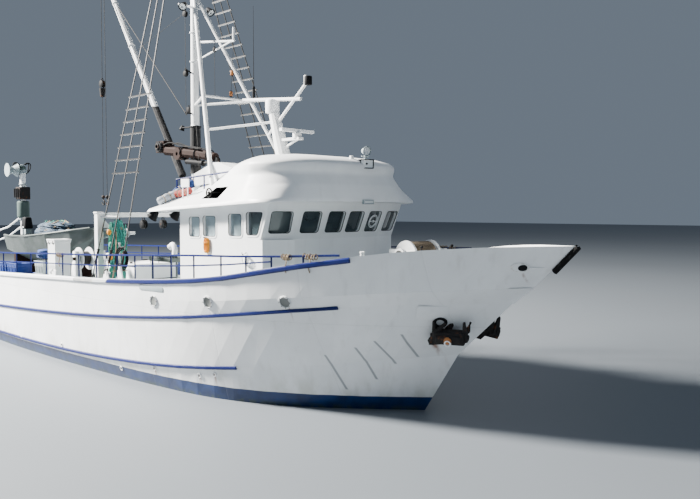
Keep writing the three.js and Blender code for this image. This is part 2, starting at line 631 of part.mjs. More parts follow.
// Radar post with yard and lamp arm, and its scanner
const SCANNER_X = 4.28;
function radarPost() {
  const post = postBody(0);
  const yard = tube([V(2.15, 0, 7.02), V(4.42, 0, 6.83)], 0.045, 8);
  const arm = tube([V(3.5, 0, 6.29), V(4.63, 0, 7.19)], 0.04, 8);
  const lamp = bar([4.63, 0, 7.15], [0, 0, 1], 0.21, 0.07, 12);
  const shelf = box(3.55, 4.42, -0.08, 0.08, 5.86, 5.92);
  const strut = tube([V(3.55, 0, 5.6), V(4.3, 0, 5.88)], 0.03, 6);
  const motor = bar([SCANNER_X, 0, 5.9], [0, 0, 1], 0.12, 0.11, 16);
  return joined([post, yard, arm, lamp, shelf, strut, motor]).subtract(topFit);
}
put('radar_post', biggest(radarPost()), WHITE);
put('radar_scanner', joined([
  bar([SCANNER_X, 0, 6.0203], [0, 0, 1], 0.05, 0.06, 16),
  box(SCANNER_X - 0.05, SCANNER_X + 0.05, -0.52, 0.52, 6.045, 6.115),
]), WHITE);

// Anchor windlass on the foredeck
const WIND = { x: 8.1, z: 3.26 };
const windFloor = deckZ(WIND.x);
const DRUM = [
  [0, 0.6], [0.13, 0.6], [0.13, 0.54], [0.05, 0.54], [0.05, 0.46 - SEAT], [0.09, 0.46 - SEAT], [0.09, 0.41],
  [0.28, 0.41], [0.28, 0.36], [0.15, 0.36],
];
put('windlass_frame', joined([
  box(7.75, 8.45, -0.52, -0.46, 2.2, WIND.z + 0.1), box(7.75, 8.45, 0.46, 0.52, 2.2, WIND.z + 0.1),
  box(7.75, 8.45, -0.52, 0.52, 2.2, windFloor + 0.1),
]).subtract(hullFit).subtract(bar([WIND.x, -1, WIND.z], [0, 1, 0], 2, 0.05 + PIN_GAP, 28)), WHITE);
put('windlass_drum', lathe([
  ...DRUM.map(([r, y]) => [r, -y]), ...DRUM.slice().reverse(),
], 24, [WIND.x, 0, WIND.z], [0, 1, 0]), WHITE);

// Anchors stowed against the bow flare
function hullPoint(k, t, s) {
  const low = Math.floor(k);
  return levelPoint(low, t, s).lerp(levelPoint(low + 1, t, s), k - low);
}
const ANCHOR = { level: 5.55, share: 0.9725, half: 0.2, crown_r: 0.07, reach: 0.33 };
function anchorSolid(s) {
  const p = hullPoint(ANCHOR.level, ANCHOR.share, s);
  const up = hullPoint(ANCHOR.level + 0.2, ANCHOR.share, s).sub(p).normalize();
  const ahead = hullPoint(ANCHOR.level, ANCHOR.share + 0.01, s).sub(p).normalize();
  const out = V(0, 0, 0).crossVectors(up, ahead).normalize();
  if (out.y * s < 0) out.negate();
  const at = (a, u, n) => p.clone().addScaledVector(ahead, a).addScaledVector(up, u).addScaledVector(out, n);
  const { half, crown_r: r, reach } = ANCHOR;
  const crown = tube([at(-half - 0.06, -0.22, 0.14), at(half + 0.06, -0.22, 0.14)], r, 10);
  const shank = tube([at(0, -0.22, 0.14), at(0, 0.3, -0.14)], 0.065, 8);
  const flukes = [-1, 1].map((k) => tube([
    at(k * half, -0.22, 0.15), at(k * (half + 0.1), reach * 0.4, 0.17), at(k * (half + 0.04), reach, 0.12),
  ], [0.09, 0.025], 6));
  return joined([shank, crown, ...flukes]).subtract(sideFit);
}
for (const [side, s] of SIDES) put(`${side}_anchor`, biggest(anchorSolid(s)), BLACK, 0.8);

// Shroud ladders from the rail to the masthead
const WIRES = [{ foot: 1.3, head: -0.1 }, { foot: 0.62, head: -0.35 }, { foot: -0.08, head: -0.61 }];
const RUNGS = { starboard: { low: 5.12, high: 7.17, count: 7 }, port: { low: 5.1, high: 10.2, count: 17 } };
function shroudSolid(side, s) {
  const head = (row) => V(row.head, s * CROSSTREE.y, CROSSTREE.z);
  const foot = (row) => sheerAt(row.foot, s, 0.062);
  const parts = WIRES.map((row) => tube([foot(row).setZ(foot(row).z - 0.04), head(row)], 0.016, 4));
  const at = (row, z) => foot(row).lerp(head(row), (z - foot(row).z) / (CROSSTREE.z - foot(row).z));
  const { low, high, count } = RUNGS[side];
  for (let i = 0; i < count; i += 1) {
    const z = lerp(low, high, i / (count - 1));
    const a = at(WIRES[0], z);
    const b = at(WIRES[2], z);
    parts.push(tube([a.clone().lerp(b, -0.08), a.clone().lerp(b, 1.08)], 0.024, 4));
  }
  return joined(parts).subtract(spreaderFit).subtract(railFit);
}
const spreaderFit = spreaderBody(FIT);
for (const [side, s] of SIDES) put(`${side}_shrouds`, biggest(shroudSolid(side, s)), GREY);

// Net gantry and its roller
const GANTRY = { x0: -0.41, x1: -0.25, post: 2.88, width: 0.16, top: 4.1, axle_z: 3.55, axle_r: 0.04 };
function gantrySolid() {
  const { x0, x1, post, width, top, axle_z: z, axle_r: r } = GANTRY;
  return joined([
    box(x0, x1, -post, -post + width, 1.7, top), box(x0, x1, post - width, post, 1.7, top),
    box(x0, x1, -post, post, top - 0.12, top), bar([(x0 + x1) / 2, -post + 0.1, z], [0, 1, 0], 1.0, r),
    bar([(x0 + x1) / 2, -post + 0.1, z], [0, 1, 0], width - 0.08 - SEAT, 0.07, 16),
  ]).subtract(hullFit);
}
put('net_gantry', gantrySolid(), WHITE);
const rollerX = (GANTRY.x0 + GANTRY.x1) / 2;
const rollerY = -GANTRY.post + GANTRY.width + 0.02;
put('net_roller', bar([rollerX, rollerY, GANTRY.axle_z], [0, 1, 0], 0.72, 0.11)
  .subtract(bar([rollerX, -3, GANTRY.axle_z], [0, 1, 0], 3, GANTRY.axle_r + PIN_GAP)), BLACK);

// Net gathered in an upright bundle beside the gantry
const BUNDLE = [
  { z: 1.9, r: 0.2 }, { z: 2.3, r: 0.18 }, { z: 2.75, r: 0.15 }, { z: 3.05, r: 0.17 },
  { z: 3.4, r: 0.15 }, { z: 3.72, r: 0.17 }, { z: 3.93, r: 0.09 },
];
const bundle = rings(BUNDLE.map((row) => [0, 1, 2, 3, 4, 5, 6, 7].map((k) => {
  const w = (k * Math.PI) / 4;
  return V(0.06 + row.r * 0.8 * Math.cos(w), -2.48 + row.r * 1.25 * Math.sin(w), row.z);
})));
put('net_bundle', biggest(bundle.subtract(hullFit)), BLUE, 0.9);

// Skiff on its cradle
const SKIFF = { y: -1.0 };
const SKIFF_ROWS = [
  { x: -9.15, half: 0.85, top: 3.3, keel: 2.55 },
  { x: -8.3, half: 0.97, top: 3.28, keel: 2.45 },
  { x: -7.0, half: 1.05, top: 3.3, keel: 2.45 },
  { x: -5.7, half: 0.93, top: 3.4, keel: 2.5 },
  { x: -4.75, half: 0.55, top: 3.52, keel: 2.7 },
  { x: -4.1, half: 0.06, top: 3.62, keel: 3.15 },
];
function skiffBody(inset, lift) {
  return rings(SKIFF_ROWS.map((row) => {
    const h = Math.max(0.02, row.half - inset);
    const x = row.x + (row.x < -9 ? inset : row.x > -4.5 ? -inset * 2 : 0);
    const k = row.keel + inset;
    const t = row.top + lift;
    const chine = lerp(k, row.top, 0.35);
    return [
      V(x, SKIFF.y - h, t), V(x, SKIFF.y + h, t), V(x, SKIFF.y + h * 0.86, chine),
      V(x, SKIFF.y + h * 0.3, k), V(x, SKIFF.y - h * 0.3, k), V(x, SKIFF.y - h * 0.86, chine),
    ];
  }));
}
const skiff = skiffBody(0, 0).subtract(skiffBody(0.06, 0.2));
put('skiff', biggest(skiff), GREY, 0.4, 0.6);
const cradle = joined([
  box(-8.4, -8.25, -1.8, -0.2, 1.7, 2.75), box(-6.1, -5.95, -1.8, -0.2, 1.7, 2.75),
  box(-8.4, -5.95, -1.08, -0.92, 1.7, 2.1),
]).subtract(hullFit).subtract(skiffBody(-FIT, 0));
put('skiff_cradle', biggest(cradle), BROWN);

// Hatch, lockers, bitts and hauler post
const coaming = box(-3.6, -2.2, -0.7, 0.7, 1.7, 2.5).subtract(box(-3.54, -2.26, -0.64, 0.64, 2.1, 2.6));
put('hatch_coaming', coaming.subtract(hullFit), WHITE);
put('hatch_lid', box(-3.63, -2.17, -0.73, 0.73, 2.5003, 2.56), WHITE);
put('deck_locker', box(-3.3, -2.85, -2.85, -2.4, 1.7, 3.32).subtract(hullFit), WHITE);
const foreLocker = planCut([[5.3, -2.085], [5.53, -2.085], [5.81, -1.42], [5.5, -1.3]].reverse(), 2.1, 3.53);
put('fore_locker', biggest(foreLocker.subtract(hullFit).subtract(houseBody(-FIT))), WHITE);
function bitts(x, y) {
  const base = deckZ(x);
  return joined([
    bar([x, y - 0.22, 1.5], [0, 0, 1], base - 1, 0.08, 16),
    bar([x, y + 0.22, 1.5], [0, 0, 1], base - 1, 0.08, 16),
    bar([x, y - 0.36, base + 0.3], [0, 1, 0], 0.72, 0.05, 12),
  ]).subtract(hullFit);
}
put('fore_bitts', bitts(9.0, 0), BLACK);
put('aft_bitts', bitts(-11.2, 1.7), BLACK);
const HAULER = { x: -9.75, y: -0.9, top: 5.5, r: 0.1 };
const haulerPost = bar([HAULER.x, HAULER.y, 1.5], [0, 0, 1], HAULER.top - 1.5, HAULER.r, 16);
put('hauler_post', haulerPost.subtract(hullFit), WHITE);
put('hauler_head', joined([
  bar([HAULER.x, HAULER.y, HAULER.top + SEAT], [0, 0, 1], 0.12, 0.16, 16),
  bar([HAULER.x, HAULER.y, HAULER.top + 0.1], [0, -1, 0], 0.55, 0.06, 12),
  lathe([[0, 0], [0.24, 0], [0.13, 0.15], [0.13, 0.2], [0.24, 0.35], [0, 0.35]], 20,
    [HAULER.x, HAULER.y - 0.2, HAULER.top + 0.1], [0, -1, 0]),
]), GREY);

// Propeller and rudder, with blade sections by radius, half chord and twist
const BLADE = [[0.1, 0.13, 55], [0.3, 0.24, 38], [0.52, 0.26, 27], [SHAFT.prop_r, 0.1, 20]];
function propellerSolid() {
  const hubShape = [[0, 0], [0.09, 0], [0.14, 0.1], [0.12, 0.34], [0, 0.42]];
  const hub = lathe(hubShape, 20, [-8.12, 0, SHAFT.z], [-1, 0, 0]);
  const shaft = bar([-8.2, 0, SHAFT.z], [1, 0, 0], 1.0, SHAFT.r, 20);
  const collar = bar([-8.2, 0, SHAFT.z], [1, 0, 0], 8.2 + SHAFT.post_x - 0.12 - SEAT, 0.1, 20);
  const blades = [];
  for (let i = 0; i < 4; i += 1) {
    const list = BLADE.map(([r, c, twist]) => {
      const a = THREE.MathUtils.degToRad(twist);
      const ring = [];
      for (const [u, w] of [[-1, 0], [-0.5, 0.02], [0.5, 0.02], [1, 0], [0.5, -0.02], [-0.5, -0.02]]) {
        const along = u * c;
        ring.push(V(-8.3 + along * Math.sin(a) + w * Math.cos(a), along * Math.cos(a) - w * Math.sin(a), r));
      }
      return ring.reverse();
    });
    const w = (i * Math.PI) / 2;
    blades.push(rings(list.map((ring) => ring.map((p) => V(
      p.x, p.y * Math.cos(w) - p.z * Math.sin(w), SHAFT.z + p.y * Math.sin(w) + p.z * Math.cos(w))))));
  }
  return joined([hub, shaft, collar, ...blades]);
}
put('propeller', propellerSolid(), 0x9b7a3c, 0.35, 0.9);
function rudderSolid() {
  const half = [[-9.2, 0.05], [-9.35, 0.085], [-9.7, 0.06], [-10.25, 0.012]];
  const section = [...half, ...half.map(([x, y]) => [x, -y]).reverse()];
  const foot = bar([STOCK.x, 0, -2.6 + SEAT], [0, 0, 1], 0.1, 0.075, 16);
  const blade = planCut(section, -2.57, -0.98).add(foot);
  const stock = bar([STOCK.x, 0, -1.3], [0, 0, 1], 0.9, STOCK.r, 20);
  const socket = bar([STOCK.x, 0, -2.7], [0, 0, 1], 0.18, 0.04 + PIN_GAP, 16);
  return blade.add(stock).subtract(socket);
}
put('rudder', rudderSolid(), 0x16202e);

export default group;
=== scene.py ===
"""Motor fishing vessel: fittings, finishes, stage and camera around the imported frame."""
import math
import random

import bmesh
import bpy
from mathutils import Matrix, Vector
from mathutils.bvhtree import BVHTree


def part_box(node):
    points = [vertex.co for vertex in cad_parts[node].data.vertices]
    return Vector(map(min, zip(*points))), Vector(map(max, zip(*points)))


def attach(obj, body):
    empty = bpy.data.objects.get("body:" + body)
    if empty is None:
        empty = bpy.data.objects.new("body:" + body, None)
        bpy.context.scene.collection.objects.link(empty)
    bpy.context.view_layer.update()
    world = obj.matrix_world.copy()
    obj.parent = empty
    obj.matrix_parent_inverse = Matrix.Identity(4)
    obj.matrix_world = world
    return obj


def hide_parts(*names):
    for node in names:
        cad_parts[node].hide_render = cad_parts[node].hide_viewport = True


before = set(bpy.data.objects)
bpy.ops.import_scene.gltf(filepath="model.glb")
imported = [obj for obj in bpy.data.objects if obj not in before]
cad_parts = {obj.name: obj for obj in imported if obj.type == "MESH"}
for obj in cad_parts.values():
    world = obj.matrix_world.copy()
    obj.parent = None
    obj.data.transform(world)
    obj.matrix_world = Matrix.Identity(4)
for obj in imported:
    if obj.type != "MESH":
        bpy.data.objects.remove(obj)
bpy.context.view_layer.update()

bl_info = {
    "name": "Motor fishing vessel",
    "version": (1, 0, 0),
    "blender": (4, 5, 0),
    "location": "View3D > Sidebar > Vessel",
    "description": "Fittings and finishes of a steel motor fishing vessel",
    "category": "Object",
}

UP = Vector((0, 0, 1))
SIDES = (("starboard", -1), ("port", 1))
FULL_TURN = 2 * math.pi
# A height and a distance from the middle line that are clear of the vessel
CLEAR_ABOVE = 14
CLEAR_OUTBOARD = 6
SMOOTH_ANGLE = 35
# The least part of a unit normal that counts as facing a way
FLAT = 0.9
# A mast's white against the house's
MAST_SHADE = 0.93
finishes = {}


# Sizes and colours that a user may change


class VesselSizes(bpy.types.PropertyGroup):
    """Sizes of the fittings"""

    porthole: bpy.props.FloatProperty(
        name="Porthole radius", description="Outer radius of a porthole ring", default=0.138, unit="LENGTH")
    gasket: bpy.props.FloatProperty(
        name="Window gasket", description="Width of the dark gasket round a pane", default=0.014, unit="LENGTH")
    wire: bpy.props.FloatProperty(
        name="Wire radius", description="Radius of the standing and running wires", default=0.0078, unit="LENGTH")
    seam_step: bpy.props.FloatProperty(
        name="Plate length", description="Distance between the upright weld seams", default=2.35, unit="LENGTH")
    boot_top: bpy.props.FloatProperty(
        name="Boot-top edge", description="Height of the blue paint above the water", default=0.29, unit="LENGTH")


def colour_property(name, description, default):
    return bpy.props.FloatVectorProperty(
        name=name, description=description, default=default, size=3, min=0, max=1, subtype="COLOR")


class VesselColours(bpy.types.PropertyGroup):
    """Colours of the paints and materials"""

    white: colour_property("White", "Topsides, house and mast", (0.84, 0.86, 0.87))
    blue: colour_property("Strake blue", "Rubbing strakes and rails", (0.0012, 0.0075, 0.085))
    bottom: colour_property("Bottom blue", "Boot-top and bottom paint", (0.001, 0.022, 0.10))
    deck: colour_property("Deck grey", "Weather decks", (0.24, 0.29, 0.31))
    rust: colour_property("Rust", "Rust streaks and spots", (0.23, 0.085, 0.03))
    net: colour_property("Net", "Twine of the hung net", (0.03, 0.26, 0.22))
    rope: colour_property("Rope", "Weathered mooring rope", (0.34, 0.26, 0.17))
    orange: colour_property("Orange", "Coiled line on the house wall", (0.75, 0.30, 0.03))
    glass: colour_property("Glass", "Tinted window glass", (0.02, 0.03, 0.036))


# Hand tools: each selects what it works on and leaves object mode behind


def clear_selection():
    if bpy.context.mode != "OBJECT":
        bpy.ops.object.mode_set(mode="OBJECT")
    bpy.ops.object.select_all(action="DESELECT")


def choose(obj):
    clear_selection()
    obj.select_set(True)
    bpy.context.view_layer.objects.active = obj


def settle(obj):
    choose(obj)
    bpy.ops.object.transform_apply(location=True, rotation=True, scale=True)
    return obj


def named(name):
    obj = bpy.context.object
    obj.name = name
    obj.data.name = name
    return settle(obj)


def block(name, low, high):
    clear_selection()
    low = Vector(low)
    high = Vector(high)
    bpy.ops.mesh.primitive_cube_add(size=1, location=(low + high) / 2, scale=high - low)
    return named(name)


def taper(name, start, end, radius, end_radius, sides=24):
    clear_selection()
    start = Vector(start)
    axis = Vector(end) - start
    bpy.ops.mesh.primitive_cone_add(
        vertices=sides, radius1=radius, radius2=end_radius, depth=axis.length,
        location=start + axis / 2, rotation=axis.to_track_quat("Z", "Y").to_euler())
    return named(name)


def drum(name, start, end, radius, sides=24):
    return taper(name, start, end, radius, radius, sides)


def ring(name, centre, axis, radius, thickness, sides=28, around=8):
    clear_selection()
    bpy.ops.mesh.primitive_torus_add(
        major_radius=radius, minor_radius=thickness, major_segments=sides, minor_segments=around,
        location=centre, rotation=Vector(axis).to_track_quat("Z", "Y").to_euler())
    return named(name)


def ball(name, centre, radius, scale=(1, 1, 1), rounds=3):
    clear_selection()
    bpy.ops.mesh.primitive_ico_sphere_add(subdivisions=rounds, radius=radius, location=centre, scale=scale)
    return named(name)


def pipe(name, points, radius, curved=False, sides=8):
    """Draws a line through the points and gives it a round section"""
    clear_selection()
    bpy.ops.curve.primitive_bezier_curve_add()
    line = bpy.context.object
    bpy.ops.object.mode_set(mode="EDIT")
    bpy.ops.curve.select_all(action="SELECT")
    bpy.ops.curve.delete(type="VERT")
    for point in points:
        bpy.ops.curve.vertex_add(location=point)
    bpy.ops.curve.select_all(action="SELECT")
    if curved:
        bpy.ops.curve.handle_type_set(type="AUTOMATIC")
    else:
        bpy.ops.curve.spline_type_set(type="POLY")
    bpy.ops.object.mode_set(mode="OBJECT")
    line.data.resolution_u = 6
    line.data.bevel_depth = radius
    line.data.bevel_resolution = max(0, sides // 2 - 2)
    line.data.use_fill_caps = True
    bpy.ops.object.convert(target="MESH")
    return named(name)


def faces_where(obj, test):
    choose(obj)
    bpy.ops.object.mode_set(mode="EDIT")
    bpy.ops.mesh.select_mode(type="FACE")
    bpy.ops.mesh.select_all(action="DESELECT")
    mesh = bmesh.from_edit_mesh(obj.data)
    direction = Vector()
    for face in mesh.faces:
        if test(face.calc_center_median(), face.normal):
            face.select_set(True)
            direction += face.normal
    bmesh.update_edit_mesh(obj.data)
    return direction.normalized()


def push_faces(obj, test, inset=0.0, push=0.0):
    """Insets the faces that the test picks, then extrudes them along their normal"""
    direction = faces_where(obj, test)
    if inset:
        bpy.ops.mesh.inset(thickness=inset, use_even_offset=True)
    if push:
        bpy.ops.mesh.extrude_region_move(TRANSFORM_OT_translate={"value": direction * push})
    bpy.ops.object.mode_set(mode="OBJECT")
    return obj


def facing_up(centre, normal):
    return normal.z > FLAT


def facing_down(centre, normal):
    return normal.z < -FLAT


def squeeze(obj, test, scale, **pivot):
    """Scales the faces that the test picks"""
    faces_where(obj, test)
    bpy.ops.transform.resize(value=scale, **pivot)
    bpy.ops.object.mode_set(mode="OBJECT")
    return obj


def drop_faces(obj, test):
    faces_where(obj, test)
    bpy.ops.mesh.delete(type="FACE")
    bpy.ops.object.mode_set(mode="OBJECT")
    return obj


def apply_modifier(obj, kind, **settings):
    choose(obj)
    modifier = obj.modifiers.new(kind.lower(), kind)
    for key, value in settings.items():
        setattr(modifier, key, value)
    bpy.ops.object.modifier_apply(modifier=modifier.name)
    return obj


def round_edges(obj, width, segments=2, angle=35):
    return apply_modifier(
        obj, "BEVEL", width=width, segments=segments, limit_method="ANGLE", angle_limit=math.radians(angle))


def slab(name, low, high, bevel, segments=2):
    """A block with rounded edges"""
    return round_edges(block(name, low, high), bevel, segments)


def rounded_drum(name, start, end, radius, sides, bevel, segments=2):
    """A drum with rounded edges"""
    return round_edges(drum(name, start, end, radius, sides), bevel, segments)


def rounded_plate(name, width, height, corner, thickness, rim=0.0):
    """A plate, or a frame of the rim's width, lying at the origin with its face up"""
    clear_selection()
    bpy.ops.mesh.primitive_plane_add(size=1, scale=(width, height, 1))
    plate = named(name)
    choose(plate)
    bpy.ops.transform.resize(value=(width / plate.dimensions.x, height / plate.dimensions.y, 1))
    settle(plate)
    bpy.ops.object.mode_set(mode="EDIT")
    bpy.ops.mesh.select_all(action="SELECT")
    bpy.ops.mesh.bevel(offset=corner, segments=5, affect="VERTICES")
    bpy.ops.object.mode_set(mode="OBJECT")
    if rim:
        push_faces(plate, lambda c, n: True, inset=rim)
        drop_faces(plate, lambda c, n: abs(c.x) < 0.01 and abs(c.y) < 0.01)
    apply_modifier(plate, "SOLIDIFY", thickness=thickness, offset=1.0)
    return plate


def placed(obj, matrix):
    obj.matrix_world = matrix
    return settle(obj)


def copied(obj, name, matrix):
    choose(obj)
    bpy.ops.object.duplicate(linked=False)
    twin = bpy.context.object
    twin.name = name
    twin.data.name = name
    return placed(twin, matrix)


def scrap(*objs):
    clear_selection()
    for obj in objs:
        obj.select_set(True)
    bpy.ops.object.delete()


def joined(name, parts):
    clear_selection()
    for part in parts:
        part.select_set(True)
    bpy.context.view_layer.objects.active = parts[0]
    bpy.ops.object.join()
    return named(name)


def painted(obj, finish):
    obj.data.materials.clear()
    obj.data.materials.append(finishes[finish])
    return obj


def paint_faces(obj, finish, test):
    obj.data.materials.append(finishes[finish])
    slot = len(obj.data.materials) - 1
    for face in obj.data.polygons:
        if test(face.center, face.normal):
            face.material_index = slot
    return obj


def kit(name, *rows):
    """Joins parts that are given as rows: tool, finish, and what the tool takes after a name"""
    return joined(name, [painted(tool(name, *sizes), finish) for tool, finish, *sizes in rows])


def fitted(obj, body="vessel"):
    """Smooths a finished piece and lets it ride on its body"""
    choose(obj)
    bpy.ops.object.shade_smooth_by_angle(angle=math.radians(SMOOTH_ANGLE))
    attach(obj, body)
    return obj


def outward(point, normal, up=UP):
    """A placing matrix whose Z leaves the surface and whose Y keeps to the upward direction"""
    z = Vector(normal).normalized()
    x = Vector(up).cross(z).normalized()
    y = z.cross(x)
    turn = Matrix((x, y, z)).transposed().to_4x4()
    return Matrix.Translation(point) @ turn


def at(x, y, z):
    return Matrix.Translation((x, y, z))


class Skin:
    """Finds points on the outside of some of the frame's nodes"""

    def __init__(self, *names):
        points = []
        faces = []
        for name in names:
            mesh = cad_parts[name].data
            start = len(points)
            points += [v.co.copy() for v in mesh.vertices]
            faces += [[start + i for i in p.vertices] for p in mesh.polygons]
        self.tree = BVHTree.FromPolygons(points, faces)

    def cast(self, origin, direction):
        place, normal, _, _ = self.tree.ray_cast(Vector(origin), Vector(direction))
        if place is None:
            raise RuntimeError(f"nothing of the frame lies from {origin} towards {direction}")
        if normal.dot(Vector(direction)) > 0:
            normal = -normal
        return place, normal

    def side(self, x, z, hand):
        return self.cast((x, CLEAR_OUTBOARD * hand, z), (0, -hand, 0))

    def below(self, x, y):
        return self.cast((x, y, CLEAR_ABOVE), (0, 0, -1))

    def rim(self, x, z, hand):
        """The top of the side that stands outboard at a height"""
        wall, _ = self.side(x, z, hand)
        return self.below(x, wall.y - hand * 0.04)


# Shader tools


class Value:
    """A shader number; Python operators add the Math nodes"""

    def __init__(self, finish, socket):
        self.finish = finish
        self.socket = socket

    def math(self, operation, *values):
        return self.finish.node("ShaderNodeMath", {"operation": operation}, dict(enumerate(values)))

    def __add__(self, other):
        return self.math("ADD", self, other)

    __radd__ = __add__

    def __sub__(self, other):
        return self.math("SUBTRACT", self, other)

    def __rsub__(self, other):
        return self.math("SUBTRACT", other, self)

    def __mul__(self, other):
        return self.math("MULTIPLY", self, other)

    __rmul__ = __mul__

    def __abs__(self):
        return self.math("ABSOLUTE", self)

    def sine(self):
        return self.math("SINE", self)

    def fraction(self):
        return self.math("FRACT", self)

    def larger(self, other):
        return self.math("MAXIMUM", self, other)

    def band(self, low, high):
        inputs = {"Value": self, "From Min": low, "From Max": high}
        return self.finish.node("ShaderNodeMapRange", {"interpolation_type": "SMOOTHSTEP"}, inputs)


class Finish:
    """A procedural finish built on one shader"""

    def __init__(self, name, **constants):
        self.material = bpy.data.materials.new(name)
        self.material.use_nodes = True
        self.tree = self.material.node_tree
        self.shader = self.tree.nodes["Principled BSDF"]
        for key, value in constants.items():
            self.shader.inputs[key.replace("_", " ")].default_value = value
        self.point = self.node("ShaderNodeTexCoord", {}, {}, "Object")
        finishes[name] = self.material

    def node(self, kind, settings, inputs, output=0):
        made = self.tree.nodes.new(kind)
        for key, value in settings.items():
            setattr(made, key, value)
        for key, value in inputs.items():
            if isinstance(value, Value):
                self.tree.links.new(value.socket, made.inputs[key])
            elif isinstance(value, (tuple, list)) and len(value) == 3 and made.inputs[key].type == "RGBA":
                made.inputs[key].default_value = (*value, 1)
            else:
                made.inputs[key].default_value = value
        return Value(self, made.outputs[output])

    def axes(self):
        made = self.tree.nodes.new("ShaderNodeSeparateXYZ")
        self.tree.links.new(self.point.socket, made.inputs[0])
        return [Value(self, made.outputs[i]) for i in range(3)]

    def facing(self, axis):
        normal = self.node("ShaderNodeNewGeometry", {}, {}, "Normal")
        return self.node("ShaderNodeSeparateXYZ", {}, {0: normal}, axis)

    def noise(self, scale, detail=3.0, stretch=None, roughness=0.5):
        point = self.point
        if stretch:
            point = self.node("ShaderNodeMapping", {}, {"Vector": point, "Scale": stretch})
        inputs = {"Vector": point, "Scale": scale, "Detail": detail, "Roughness": roughness}
        return self.node("ShaderNodeTexNoise", {}, inputs, "Fac")

    def mix(self, first, second, factor):
        return self.node("ShaderNodeMix", {"data_type": "RGBA"}, {0: factor, 6: first, 7: second}, 2)

    def surface(self, colour=None, rough=None, relief=None, depth=0.01, metal=None):
        """Links what varies; relief is a height from 0 to 1 and depth its height in metres"""
        for key, value in (("Base Color", colour), ("Roughness", rough), ("Metallic", metal)):
            if value is not None:
                self.tree.links.new(value.socket, self.shader.inputs[key])
        if relief is not None:
            bump = self.node("ShaderNodeBump", {}, {"Strength": 1.0, "Distance": depth, "Height": relief})
            self.tree.links.new(bump.socket, self.shader.inputs["Normal"])
        return self.material


def shade(colour, factor):
    return tuple(min(1.0, c * factor) for c in colour)


def blend(first, second, share):
    return tuple(a + (b - a) * share for a, b in zip(first, second))


def table_at(rows, value):
    """Reads a table at a value of its first column, on straight lines between its rows"""
    for first, second in zip(rows, rows[1:]):
        if value <= second[0]:
            return blend(first[1:], second[1:], (value - first[0]) / (second[0] - first[0]))
    return rows[-1][1:]


GRIME = (0.20, 0.17, 0.13)
UNDERCOAT = (0.62, 0.64, 0.62)


# Paints below this brightness get dirt of their own tone
DARK_PAINT = 0.15


def weathered(finish, colour, grime, chips, rust):
    """Paint with tone changes, runs of dirt, chips and rust spots; returns colour and runs"""
    tone = finish.noise(0.8, 4)
    paint = finish.mix(shade(colour, 0.94), shade(colour, 1.03), tone.band(0.35, 0.65))
    runs = finish.noise(1.0, 5, (6, 6, 0.45))
    dark = max(colour) < DARK_PAINT
    paint = finish.mix(paint, shade(colour, 1.6) if dark else GRIME, runs.band(0.52, 0.85) * grime)
    worn = finish.noise(17, 7, roughness=0.62).band(chips, chips + 0.02)
    paint = finish.mix(paint, shade(colour, 2.2) if dark else UNDERCOAT, worn)
    spots = finish.noise(7, 9, roughness=0.65).band(0.71, 0.75)
    paint = finish.mix(paint, rust, spots * 0.8)
    return paint, runs


def plain_paint(name, colour, colours, grime=0.25, chips=0.74, gloss=0.36, depth=0.004):
    finish = Finish(name, Specular_IOR_Level=0.1 if max(colour) < DARK_PAINT else 0.5)
    paint, runs = weathered(finish, colour, grime, chips, tuple(colours.rust))
    relief = finish.noise(0.9, 2) * 0.5 + finish.noise(60, 2) * 0.05
    return finish.surface(paint, runs * 0.3 + gloss, relief, depth)


def seam(value, step, width):
    """A thin line each step along a coordinate"""
    part = (value * (1 / step) + 0.5).fraction() - 0.5
    return abs(part).band(width / step, 0)


# Rust runs on the topsides: station, top, length and width of each
RUST_RUNS = (
    (-9.9, 1.02, 0.35, 0.05), (-7.4, 2.05, 0.5, 0.04), (-4.7, 0.36, 0.28, 0.06), (-1.95, 0.49, 0.3, 0.06),
    (1.02, 0.25, 0.2, 0.05), (2.5, 0.46, 0.3, 0.05), (4.03, 0.49, 0.3, 0.06), (4.48, 0.57, 0.35, 0.05),
    (6.69, 2.2, 0.4, 0.03), (8.9, 1.55, 0.6, 0.08), (10.8, 3.05, 0.3, 0.04),
)
# Long scrapes on the bow: upper station and height, lower station and height
BOW_SCRAPES = (
    (7.04, 1.23, 7.18, 0.43), (7.63, 1.42, 7.74, 0.68), (8.01, 1.58, 8.14, 1.04), (8.50, 1.74, 8.53, 1.20),
)


